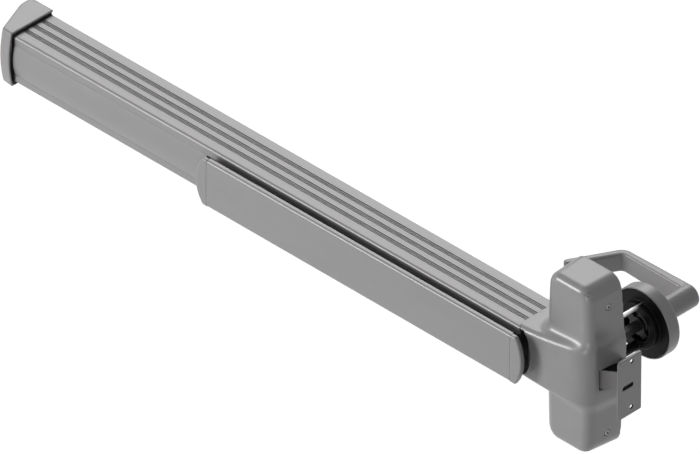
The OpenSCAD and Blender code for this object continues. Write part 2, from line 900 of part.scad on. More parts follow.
// Upright of the cover: drafted, swollen at mid height, with rounded front edges.
// An inset makes the inner form.
module upright_form(inset) {
  r = cover_corner_r - inset;
  edge = max(cover_edge_r - inset, 1);
  deep = cover_d - inset;
  base = inset > 0 ? -1 : 0;
  half_front = side_x - inset - r;
  half_back = half_front + cover_draft;
  half_h = cover_h / 2 - inset - r;
  translate([0, 0, cover_rise]) front() hull() {
    for (x = [-1, 1]) {
      for (z = [-1, 1]) {
        translate([x * half_front, z > 0 ? half_h : cover_fall - half_h, deep - 2 * edge])
          rounded_disc(r, 2 * edge, edge);
        translate([x * half_back, z * half_h, base]) cylinder(r = r, h = 1, $fn = round_fn);
      }
      for (share = [-0.3, 0.3])
        translate([x * (half_back + cover_swell), share * cover_h / 2, base])
          cylinder(r = r, h = 1, $fn = round_fn);
      translate([x * (half_front + 1.2), 0, deep - 2 * edge]) rounded_disc(r, 2 * edge, edge);
    }
  }
}

// Saddle of the cover over the end of the rail
module saddle_form(inset) {
  edge = cover_edge_r - inset / 2;
  left_half = rail_h / 2 + gap + saddle_lip - inset;
  right_half = saddle_half - inset;
  left_x = -saddle_reach - (inset > 0 ? 1 : 0);
  left_d = saddle_d - inset;
  right_d = saddle_d - saddle_fall - inset;
  drum_r = 14 - inset;
  base = inset > 0 ? -1 : 0;
  hull() {
    for (side = [-1, 1])
      scale([1, 1, side]) {
        translate([left_x, -(left_d - edge), left_half - edge]) rotate([0, 90, 0])
          cylinder(r = edge, h = 1, $fn = round_fn);
        translate([side_x - inset - 1 - drum_r, -(right_d - drum_r), right_half - 2 * edge])
          rounded_disc(drum_r, 2 * edge, edge);
        block(left_x, -1, 0, left_x + 1, -base, left_half);
        block(side_x - inset - 2, -1, 0, side_x - inset - 1, -base, right_half);
      }
  }
}

module cover_screw_boss(z) {
  translate([chassis_w / 2 + gap, -side_screw_y, z]) rotate([0, 90, 0]) cylinder(r = 5.5, h = 3);
}

module cover() {
  notch_x = pad_x1 + pad_end_len - pad_end_r;
  notch_half = rail_h / 2 + 2 * gap;
  latch_room = 0.8;
  color([0.66, 0.66, 0.67])
  difference() {
    union() {
      difference() {
        union() {
          upright_form(0);
          saddle_form(0);
        }
        upright_form(cover_wall);
        saddle_form(cover_wall);
      }
      for (z = [-1, 1])
        cover_screw_boss(z * side_screw_span / 2);
    }
    // Room for the end of the rail under the saddle
    block(-saddle_reach - 5, -rail_front - gap, -rail_h / 2 - gap, rail_x1 + gap, 1, rail_h / 2 + gap);
    // Notch that the right end of the pad moves into
    intersection() {
      translate([notch_x, -rail_front + 1, 0]) front()
        cylinder(r = pad_end_r + pad_gap, h = 20, $fn = 192);
      block(-saddle_reach - 5, -100, -notch_half, 0, 0, notch_half);
    }
    // Opening for the latch bolt
    block(side_x - cover_wall - 4, -latch_front - latch_room, latch_bottom - latch_room,
      side_x + 20, -latch_back + latch_room, latch_top + latch_room);
    // Holes and seats for the side screws
    for (z = [-1, 1])
      translate([0, -side_screw_y, z * side_screw_span / 2]) rotate([0, 90, 0]) {
        cylinder(r = side_screw_r + 0.25, h = side_x + 20);
        translate([0, 0, side_seat_x]) cylinder(r = side_head_r + 0.3, h = 20);
      }
  }
}

// Two socket screws into the ears of the chassis
module cover_screws() {
  head_t = 2.4;
  shank = side_seat_x - chassis_w / 2 + ear_t + 4;
  color([0.6, 0.6, 0.6])
  for (z = [-1, 1])
    translate([side_seat_x + 0.02, -side_screw_y, z * side_screw_span / 2]) rotate([0, 90, 0])
      difference() {
        union() {
          cylinder(r = side_head_r, h = head_t);
          translate([0, 0, -shank]) cylinder(r = side_screw_r, h = shank + eps);
        }
        translate([0, 0, head_t - 1.5]) cylinder(r = 1.7, h = 2, $fn = 6);
      }
}

// Strike: plate on the jamb with a keeper wall behind the latch bolt
module strike_plate() {
  x0 = jamb_x - strike_t;
  y0 = -strike_set - strike_w;
  half = strike_h / 2;
  slot_half = strike_slot / 2 - strike_hole_r;
  color([0.55, 0.54, 0.54])
  difference() {
    union() {
      block(x0, y0, strike_z - half, jamb_x, -strike_set, strike_z + half);
      block(keeper_x0, -strike_set - keeper_t, latch_bottom - 4, x0 + eps, -strike_set, latch_top + 4);
    }
    for (side = [-1, 1])
      translate([x0 - 1, -strike_hole_y, strike_hole_z + side * strike_span / 2]) rotate([0, 90, 0])
        cylinder(r = strike_hole_r, h = strike_t + 2);
    for (side = [-1, 1])
      translate([x0 - 1, -strike_slot_y + side * slot_half, strike_hole_z - 0.6]) rotate([0, 90, 0])
        cylinder(r = strike_hole_r, h = strike_t + 2);
    block(x0 - 1, -strike_slot_y - slot_half, strike_hole_z - 0.6 - strike_hole_r,
      jamb_x + 1, -strike_slot_y + slot_half, strike_hole_z - 0.6 + strike_hole_r);
  }
}

// Outside trim: children are drawn with height as the distance behind the door face
module outside() {
  rotate([-90, 0, 0]) children();
}

// Ring round the spindle between two distances behind the door face
module ring(r0, r1, y0, y1) {
  outside() translate([0, 0, y0]) difference() {
    cylinder(r = r1, h = y1 - y0);
    translate([0, 0, -1]) cylinder(r = r0, h = y1 - y0 + 2);
  }
}

module rose_cover() {
  edge = 3;
  color([0.66, 0.66, 0.67])
  outside() rotate_extrude($fn = 96) difference() {
    union() {
      rect(neck_r + 0.6, door_t, rose_r - edge, rose_face);
      rect(rose_r - edge - 1, door_t, rose_r, rose_face - edge);
      translate([rose_r - edge, rose_face - edge]) circle(edge);
    }
    rect(neck_r, door_t - 1, rose_r - rose_wall, rose_face - rose_wall);
  }
}

// Black base of the trim: disc, hub in the door, bearing boss, and one locating post
module rose_plate() {
  disc_r = rose_r - rose_wall - 0.4;
  color([0.06, 0.06, 0.06])
  difference() {
    union() {
      ring(journal_r + pin_gap, disc_r, door_t + gap, door_t + plate_t);
      ring(recess_r, hub_r, hub_face, door_t + 1);
      ring(journal_r + pin_gap, boss_r, door_t + gap, boss_end);
      outside() translate([0, bolt_span / 2, post_in]) cylinder(r = post_r, h = hub_face - post_in + 3);
    }
    for (z = [-1, 1])
      outside() translate([0, z * bolt_span / 2, post_in - 1]) cylinder(r = bolt_r + pin_gap, h = 70);
    outside() translate([0, 0, post_in - 1]) cylinder(r = recess_r, h = recess_floor - post_in + 1);
  }
}

// Two through bolts from the chassis into the hub
module through_bolts() {
  color([0.9, 0.9, 0.9])
  for (z = [-1, 1])
    translate([0, 0, z * bolt_span / 2]) outside() {
      translate([0, 0, -chassis_t - bolt_head_t - 0.02]) cylinder(r = bolt_head_r, h = bolt_head_t);
      translate([0, 0, -chassis_t - 1]) cylinder(r = bolt_r, h = chassis_t + 1 + door_t + plate_t);
    }
}

// Stations of the lever's bar: place along X and Y, heading, half thickness, half height.
// The grip thins from the neck to its corner, and its near face stays straight.
bar_root_y = grip_y + grip_root_t / 2;
bar_corner_y = grip_y + grip_t / 2;
bar_bend = 90 - return_lean;
bar_tangent = lever_bend_r * tan(bar_bend / 2);
bar_tip = return_len - grip_t / 2;
bar_root = [grip_root_t / 2, neck_r - 0.4];
bar_half = [grip_t / 2, grip_h / 2];

// Size at the rounded end of the bar, from 0 at the very end to 90 where the end begins
function end_size(half, share) = [half[0] * sin(share), half[1] - 2 * (1 - sin(share))];

function bar_stations() = concat(
  [for (a = [15, 35, 60, 90]) [bar_root[0] * cos(a), bar_root_y, 0, end_size(bar_root, a)]],
  [for (i = [0:6])
    let (turn = bar_bend * i / 6)
    [-grip_len + bar_tangent - lever_bend_r * sin(turn),
      bar_corner_y - lever_bend_r * (1 - cos(turn)), turn, bar_half]],
  [for (a = [90, 60, 35, 15])
    let (reach = bar_tip + grip_t / 2 * cos(a))
    [-grip_len - reach * sin(return_lean), bar_corner_y - reach * cos(return_lean),
      bar_bend, end_size(bar_half * 0.95, a)]]
);

// Point of a station's section, which is a rectangle with well rounded corners
bar_sides = 20;
function bar_bulge(c) = sign(c) * pow(abs(c), 0.55);
function bar_point(s, k) =
  let (
    side = 360 * (k + 0.5) / bar_sides,
    out = s[3][0] * bar_bulge(cos(side))
  )
  [s[0] + out * sin(s[2]), s[1] - out * cos(s[2]), s[3][1] * bar_bulge(sin(side))];

module lever_bar() {
  stations = bar_stations();
  points = [for (s = stations) for (k = [0:bar_sides - 1]) bar_point(s, k)];
  polyhedron(points, tube_faces(len(stations), bar_sides), convexity = 4);
}

module lever() {
  socket = spindle_w + 0.2;
  neck_y0 = rose_face + 0.8;
  neck_h = grip_y + grip_root_t - 0.5 - neck_y0;
  color([0.66, 0.66, 0.67])
  difference() {
    union() {
      lever_bar();
      outside() {
        translate([0, 0, neck_y0]) rounded_disc(neck_r, neck_h, 3);
        translate([0, 0, hub_face + 4]) cylinder(r = journal_r, h = rose_t + hub_in - 2);
      }
    }
    block(-socket / 2, hub_face - 1, -socket / 2, socket / 2, rose_face + 12, socket / 2);
    ring(journal_r - 1.5, journal_r + 1, recess_floor - 2.2, recess_floor - 0.8);
  }
}

// Steel disc with two lugs on the end of the journal
module lever_driver() {
  socket = spindle_w + 0.2;
  color([0.35, 0.35, 0.36])
  outside() translate([0, 0, hub_face + 0.6]) linear_extrude(3) difference() {
    union() {
      circle(journal_r);
      for (turn = [40, 220])
        rotate(turn) rect(0, -4.5, recess_r - 2.5, 4.5);
    }
    square(socket, center = true);
  }
}

module lever_clip() {
  color([0.6, 0.6, 0.6])
  difference() {
    ring(journal_r - 1.5 + pin_gap, journal_r + 3, recess_floor - 2, recess_floor - 1);
    block(-4, 0, -30, 4, 100, 0);
  }
}

module lever_spring() {
  y0 = door_t + plate_t + 0.2;
  color([0.75, 0.75, 0.76])
  outside() translate([0, 0, y0]) coil(lever_coil_r, lever_wire / 2, rose_face - rose_wall - gap - y0, 3);
}

module spindle() {
  half = spindle_w / 2;
  color([0.2, 0.2, 0.21])
  block(-half, -spindle_in, -half, half, rose_face + 8, half);
}

// Cam on the inner end of the spindle
module spindle_cam() {
  half = spindle_w / 2 + pin_gap;
  color([0.5, 0.5, 0.52])
  difference() {
    union() {
      front() translate([0, 0, chassis_t + 1]) cylinder(r = cam_r, h = cam_t);
      block(-15, -(chassis_t + 1 + cam_t), -3.5, 0, -(chassis_t + 1), 3.5);
    }
    block(-half, -20, -half, half, 0, half);
  }
}

rail();
rail_filler();
end_cap();
cap_screw();
end_gasket();
end_bracket();
push_pad();
pad_end_left();
pad_end_right();
pad_carrier_left();
pad_carrier_right();
carrier_pins();
pad_spring_left();
pad_spring_right();
mechanism_tray();
crank_bracket_left();
crank_bracket_right();
crank_pins();
bell_crank_left();
bell_crank_right();
link_bar();
link_pins();
retractor_finger();
chassis_plate();
rail_tongue();
tongue_screws();
latch_case();
latch_bolt();
latch_shoe();
latch_spring();
cover();
cover_screws();
strike_plate();
rose_cover();
rose_plate();
through_bolts();
lever();
lever_driver();
lever_clip();
lever_spring();
spindle();
spindle_cam();
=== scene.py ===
"""Push-rail exit device on a pale floor in soft studio light.

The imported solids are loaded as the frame. The shown skins of the rail, pad, case,
latch, strike and outside trim are built here around them, in millimetres, and ride
on the bodies that carry them. X runs along the bar to the latch, Y through the door
from the room to the outside, Z is up.
"""
from __future__ import annotations

import itertools
import json
import logging
import math
from dataclasses import dataclass
from enum import Enum
from typing import Callable, Sequence

import bmesh
import bpy
import numpy as np
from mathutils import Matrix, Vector


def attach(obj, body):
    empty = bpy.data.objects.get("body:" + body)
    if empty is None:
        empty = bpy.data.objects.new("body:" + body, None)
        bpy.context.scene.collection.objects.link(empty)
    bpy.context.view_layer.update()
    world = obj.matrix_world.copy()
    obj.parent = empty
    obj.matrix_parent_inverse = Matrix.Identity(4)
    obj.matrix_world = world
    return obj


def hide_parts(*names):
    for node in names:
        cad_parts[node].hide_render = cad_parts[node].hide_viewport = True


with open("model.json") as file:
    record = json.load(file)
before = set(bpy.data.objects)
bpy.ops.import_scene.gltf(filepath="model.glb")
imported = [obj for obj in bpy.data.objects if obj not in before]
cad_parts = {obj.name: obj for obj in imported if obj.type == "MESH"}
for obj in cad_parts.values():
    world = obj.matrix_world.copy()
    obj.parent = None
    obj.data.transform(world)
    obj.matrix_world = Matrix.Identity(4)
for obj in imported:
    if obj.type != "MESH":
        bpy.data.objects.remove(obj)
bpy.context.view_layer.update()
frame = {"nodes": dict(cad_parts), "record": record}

log = logging.getLogger("exit_device")

MM = 0.001
SHARP_ANGLE = math.radians(35)
BEAD_SHARP_ANGLE = math.radians(50)
BEAD_SIDES = 12
# Doubles nearer than this are merged, and a meshed form has this much free space round it
MERGE = 1e-5
MARGIN = 1.0
# How far the mesher moves a corner and how far it probes, in cells, and its least slope
REACH = 0.8
PROBE = 0.05
LEAST_SLOPE = 0.05
LEAST_ROUNDING = 1e-6
Point = tuple[float, float]
Solid = tuple[np.ndarray, list[tuple[int, ...]]]
Field = Callable[[np.ndarray, np.ndarray, np.ndarray], np.ndarray]


class Body(Enum):
    """Bodies of the mechanism that a piece can ride on."""

    DEVICE = "device"
    PAD = "pad"
    LATCH = "latch"
    LEVER = "outside_lever"


class Axis(Enum):
    """Row axis that an outline is extruded along."""

    X = 0
    Y = 1
    Z = 2


# Finishes


@dataclass(frozen=True)
class Finish:
    """A painted or metal surface with fine grain.

    Args:
        name: Material name.
        colour: Linear base colour.
        metallic: Share of metallic flake in the surface.
        roughness: Mean roughness.
        grain: Size of the grain, in millimetres.
        relief: Height of the grain, in millimetres.
        mottle: Share by which the colour varies.
        draw: Stretch of the grain along X, Y and Z, as on drawn metal.
        shine: Level of the mirror reflection.
        cloud: Size of the slow variation, in grains.
        spread: Share by which the roughness varies.
        stops: Noise levels of the darkest and the lightest colour.
        bump: Strength of the relief.
    """

    name: str
    colour: tuple[float, float, float]
    metallic: float
    roughness: float
    grain: float = 0.5
    relief: float = 0.006
    mottle: float = 0.04
    draw: tuple[float, float, float] = (1.0, 1.0, 1.0)
    shine: float = 0.5
    cloud: float = 40.0
    spread: float = 0.1
    stops: tuple[float, float] = (0.3, 0.7)
    bump: float = 0.6

    def build(self) -> bpy.types.Material:
        """Makes the node material, or finds it if it is already made.

        Returns:
            The material.
        """
        found = bpy.data.materials.get(self.name)
        if found:
            return found
        material = bpy.data.materials.new(self.name)
        material.use_nodes = True
        nodes, links = material.node_tree.nodes, material.node_tree.links
        shader = nodes["Principled BSDF"]
        shader.inputs["Metallic"].default_value = self.metallic
        shader.inputs["Specular IOR Level"].default_value = self.shine

        place = nodes.new("ShaderNodeTexCoord")
        mapping = nodes.new("ShaderNodeMapping")
        mapping.inputs["Scale"].default_value = self.draw
        links.new(place.outputs["Object"], mapping.inputs["Vector"])

        grain = nodes.new("ShaderNodeTexNoise")
        grain.inputs["Scale"].default_value = 1 / (self.grain * MM)
        grain.inputs["Detail"].default_value = 3
        links.new(mapping.outputs["Vector"], grain.inputs["Vector"])
        cloud = nodes.new("ShaderNodeTexNoise")
        cloud.inputs["Scale"].default_value = 1 / (self.grain * self.cloud * MM)
        cloud.inputs["Detail"].default_value = 2
        links.new(mapping.outputs["Vector"], cloud.inputs["Vector"])

        both = nodes.new("ShaderNodeMix")
        both.inputs["Factor"].default_value = 0.5
        links.new(grain.outputs["Fac"], both.inputs["A"])
        links.new(cloud.outputs["Fac"], both.inputs["B"])
        ramp = nodes.new("ShaderNodeValToRGB")
        for stop, side, at in zip(ramp.color_ramp.elements, (-1, 1), self.stops):
            stop.position = at
            stop.color = (*(c * (1 + side * self.mottle) for c in self.colour), 1)
        links.new(both.outputs["Result"], ramp.inputs["Fac"])
        links.new(ramp.outputs["Color"], shader.inputs["Base Color"])

        rough = nodes.new("ShaderNodeMapRange")
        rough.inputs["To Min"].default_value = self.roughness * (1 - self.spread)
        rough.inputs["To Max"].default_value = self.roughness * (1 + self.spread)
        links.new(both.outputs["Result"], rough.inputs["Value"])
        links.new(rough.outputs["Result"], shader.inputs["Roughness"])

        bump = nodes.new("ShaderNodeBump")
        bump.inputs["Strength"].default_value = self.bump
        bump.inputs["Distance"].default_value = self.relief * MM
        links.new(grain.outputs["Fac"], bump.inputs["Height"])
        links.new(bump.outputs["Normal"], shader.inputs["Normal"])
        return material


SILVER = (0.36, 0.352, 0.355)
EXTRUSION = Finish("satin_extrusion", SILVER, 0.12, 0.34, draw=(0.15, 1, 1))
CASE = Finish("satin_case_paint", SILVER, 0.12, 0.34)
TRIM = Finish("satin_trim_paint", (0.33, 0.32, 0.325), 0.12, 0.36)
STRIKE = Finish("satin_strike_paint", (0.33, 0.325, 0.325), 0.12, 0.40)
SHOE = Finish("grey_shoe", (0.27, 0.26, 0.26), 0.0, 0.45)
# Own black of the latch and the rose base, and also the painted shade inside the strike's holes and
# slot
BLACK_AND_SHADE = Finish("black_enamel_and_painted_shade", (0.010, 0.010, 0.010), 0.0, 0.40, relief=0.01, shine=0.12)
GASKET = Finish("black_rubber", (0.008, 0.008, 0.008), 0.0, 0.6, relief=0.02, shine=0.2)
PLATED = Finish("zinc_plate", (0.34, 0.34, 0.35), 0.6, 0.36, mottle=0.08)
DARK = Finish("dark_plate", (0.035, 0.035, 0.037), 0.3, 0.42, mottle=0.08, shine=0.3)
BRIGHT = Finish("bright_steel", (0.72, 0.72, 0.72), 0.9, 0.22)
WIRE = Finish("spring_wire", (0.45, 0.45, 0.46), 0.9, 0.3, draw=(1, 1, 0.3))

SLOT_FINISH = {
    "rail_aluminium": EXTRUSION,
    "case_paint": CASE,
    "trim_paint": TRIM,
    "strike_steel": STRIKE,
    "shoe_grey": SHOE,
    "black_metal": BLACK_AND_SHADE,
    "black_gasket": GASKET,
    "plated_steel": PLATED,
    "dark_steel": DARK,
    "bright_steel": BRIGHT,
    "spring_steel": WIRE,
}


# Mesh tools


def add_piece(
    name: str,
    solid: Solid,
    finish: Finish,
    body: Body,
    replaces: Sequence[str] = (),
    flat: bool = False,
    bevel: float = 0.0,
) -> None:
    """Makes an object of a solid, finishes it and lets it ride on its body.

    Args:
        name: Name of the piece.
        solid: Corners in millimetres and faces.
        finish: Finish of the piece.
        body: Body that carries it.
        replaces: CAD nodes that it stands for.
        flat: True where large flat faces meet small rounded ones.
        bevel: Width of the bevel on its sharp edges, in millimetres.
    """
    points, faces = solid
    mesh = bpy.data.meshes.new(name)
    mesh.from_pydata([tuple(p) for p in np.asarray(points) * MM], [], faces)
    mesh.validate()
    mesh.shade_smooth()
    mesh.materials.append(finish.build())
    piece = bpy.data.objects.new(name, mesh)
    bpy.context.scene.collection.objects.link(piece)
    if bevel:
        rounding = piece.modifiers.new("edge", "BEVEL")
        rounding.width = bevel * MM
        rounding.segments = 3
        rounding.limit_method = "ANGLE"
        rounding.angle_limit = SHARP_ANGLE
        rounding.harden_normals = True
    elif flat:
        mesh.set_sharp_from_angle(angle=SHARP_ANGLE)
        weighted = piece.modifiers.new("flat", "WEIGHTED_NORMAL")
        weighted.keep_sharp = True
    settle(piece, body, replaces)


def settle(
    piece: bpy.types.Object, body: Body, replaces: Sequence[str] = ()
) -> None:
    """Lets a finished piece ride and hides what it stands for.

    Args:
        piece: The finished object.
        body: Body that carries it.
        replaces: CAD nodes that it stands for.
    """
    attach(piece, body.value)
    if replaces:
        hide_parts(*replaces)
    log.info("%s rides on %s", piece.name, body.value)


def arc(cx: float, cy: float, r: float, start: float, end: float, n: int) -> list[Point]:
    """Points of an arc about (cx, cy) from start to end, in degrees and in n steps."""
    angles = np.radians(np.linspace(start, end, n + 1))
    return [(cx + r * math.cos(a), cy + r * math.sin(a)) for a in angles]


def join(*solids: Solid) -> Solid:
    """Several solids as one.

    Args:
        solids: Solids, each with its corners and faces.

    Returns:
        One solid that holds them all.
    """
    points, faces, start = [], [], 0
    for corners, polygons in solids:
        points.append(np.asarray(corners, float).reshape(-1, 3))
        faces += [tuple(i + start for i in p) for p in polygons]
        start += len(corners)
    return np.vstack(points), faces


def extrude(outline: Sequence[Point], axis: Axis, low: float, high: float) -> Solid:
    """Straight solid over an outline.

    Args:
        outline: Closed outline. It holds (Y, Z) for X, (X, Z) for Y and (X, Y) for Z.
        axis: Axis of the extrusion.
        low: Lower end along the axis.
        high: Upper end along the axis.

    Returns:
        The solid, with faces outward.
    """
    points = []
    for end in (low, high):
        for a, b in outline:
            place = [a, b]
            place.insert(axis.value, end)
            points.append(place)
    n = len(outline)
    faces = [tuple(range(n)), tuple(range(n, 2 * n))]
    faces += [(i, (i + 1) % n, n + (i + 1) % n, n + i) for i in range(n)]
    return outward((np.array(points), faces))


def outward(solid: Solid) -> Solid:
    """Merges a solid's doubles and turns its faces outward.

    Args:
        solid: Corners and faces.

    Returns:
        The solid, with its large faces cut into triangles.
    """
    points, faces = solid
    work = bmesh.new()
    corners = [work.verts.new(p) for p in points]
    for face in faces:
        work.faces.new([corners[i] for i in face])
    bmesh.ops.remove_doubles(work, verts=work.verts, dist=MERGE)
    big = [f for f in work.faces if len(f.verts) > 4]
    bmesh.ops.triangulate(work, faces=big)
    bmesh.ops.recalc_face_normals(work, faces=work.faces)
    work.verts.index_update()
    made = np.array([v.co[:] for v in work.verts])
    rings = [tuple(v.index for v in f.verts) for f in work.faces]
    work.free()
    return made, rings


def lathe(profile: Sequence[Point], segments: int) -> Solid:
    """Ring of a closed profile turned about Y.

    Args:
        profile: Closed profile of (radius, Y), clear of the axis.
        segments: Number of sides.

    Returns:
        The solid, with faces outward.
    """
    points, faces, n = [], [], len(profile)
    for k in range(segments):
        turn = 2 * math.pi * k / segments
        for r, y in profile:
            points.append((r * math.cos(turn), y, r * math.sin(turn)))
    for k in range(segments):
        a, b = k * n, (k + 1) % segments * n
        for i in range(n):
            j = (i + 1) % n
            faces.append((a + i, a + j, b + j, b + i))
    return outward((np.array(points), faces))


def smax(a: np.ndarray, b: np.ndarray, k: float | np.ndarray) -> np.ndarray:
    """Larger of two distances, rounded where they meet.

    Args:
        a: First distance.
        b: Second distance.
        k: Width of the rounding.

    Returns:
        The distance from the space that both hold.
    """
    k = np.maximum(k, LEAST_ROUNDING)
    near = np.maximum(k - np.abs(a - b), 0) / k
    return np.maximum(a, b) + near * near * k / 4


def smin(a: np.ndarray, b: np.ndarray, k: float | np.ndarray) -> np.ndarray:
    """Smaller of two distances, with a fillet of width k where they meet."""
    return -smax(-a, -b, k)


def rounded(a: np.ndarray, b: np.ndarray, r: float | np.ndarray) -> np.ndarray:
    """Larger of two distances, with an edge of radius r where they meet."""
    outside = np.hypot(np.maximum(a + r, 0), np.maximum(b + r, 0))
    return np.minimum(np.maximum(a + r, b + r), 0) + outside - r


def crown_radius(half: float, rise: float) -> float:
    """Radius of an arc that rises by an amount over half its chord."""
    return (half * half + rise**2) / (2 * rise)


def step_up(value: np.ndarray, low: float, high: float) -> np.ndarray:
    """Smooth step from 0 at low to 1 at high."""
    t = np.clip((value - low) / (high - low), 0, 1)
    return t * t * (3 - 2 * t)


def skin(
    field: Field, low: Sequence[float], high: Sequence[float], step: float, rounds: int = 5
) -> Solid:
    """Surface where a field of signed distance is zero.

    A corner is put in each cell that the surface crosses, the corners are joined
    into quads, and each one is then moved onto the surface along the slope.

    Args:
        field: Signed distance in millimetres, negative inside.
        low: Lowest corner of the space.
        high: Highest corner of the space.
        step: Size of a cell.
        rounds: How often the corners are moved.

    Returns:
        The surface, with faces outward.
    """
    farthest = REACH * step
    axes = [np.arange(a - step, b + 2 * step, step) for a, b in zip(low, high)]
    values = field(*np.meshgrid(*axes, indexing="ij"))
    inside = values < 0
    cells = tuple(len(a) - 1 for a in axes)
    total, count = np.zeros(cells + (3,)), np.zeros(cells)

    def at(array: np.ndarray, corner: Sequence[int]) -> np.ndarray:
        """Values of the array at one corner of every cell."""
        return array[tuple(slice(c, c + n) for c, n in zip(corner, cells))]

    for axis in range(3):
        for corner in itertools.product((0, 1), repeat=3):
            if corner[axis]:
                continue
            other = tuple(c + (i == axis) for i, c in enumerate(corner))
            a, b = at(values, corner), at(values, other)
            cross = (a < 0) != (b < 0)
            place = np.array(corner, float) + np.zeros(cells + (3,))
            place[..., axis] += np.where(cross, a / np.where(cross, a - b, 1), 0)
            total += place * cross[..., None]
            count += cross
    active = count > 0
    index = np.full(cells, -1)
    index[active] = np.arange(active.sum())
    cell = np.argwhere(active)
    start = np.array([a[0] for a in axes])
    points = start + (cell + total[active] / count[active][:, None]) * step

    faces = []
    for axis in range(3):
        u, v = (axis + 1) % 3, (axis + 2) % 3
        low_side = [slice(1, -1)] * 3
        low_side[axis] = slice(0, -1)
        high_side = list(low_side)
        high_side[axis] = slice(1, None)
        here, there = inside[tuple(low_side)], inside[tuple(high_side)]
        edges = np.argwhere(here != there)
        turned = here[tuple(edges.T)]
        edges[:, [i for i in range(3) if i != axis]] += 1
        ring = []
        for du, dv in ((0, 0), (1, 0), (1, 1), (0, 1)):
            at_cell = edges.copy()
            at_cell[:, u] -= du
            at_cell[:, v] -= dv
            ring.append(index[tuple(at_cell.T)])
        quads = np.array(ring).T
        faces += [tuple(q) for q in quads[turned].tolist()]
        faces += [tuple(q[::-1]) for q in quads[~turned].tolist()]

    home, nudge = points.copy(), step * PROBE
    for _ in range(rounds):
        value = field(*points.T)
        slope = np.empty_like(points)
        for axis in range(3):
            shift = np.zeros(3)
            shift[axis] = nudge
            ahead, behind = field(*(points + shift).T), field(*(points - shift).T)
            slope[:, axis] = (ahead - behind) / (2 * nudge)
        length = np.maximum((slope**2).sum(1), LEAST_SLOPE)
        points = points - slope * (value / length)[:, None]
        points = home + np.clip(points - home, -farthest, farthest)
    return points, faces


# Rail, end cap and pad


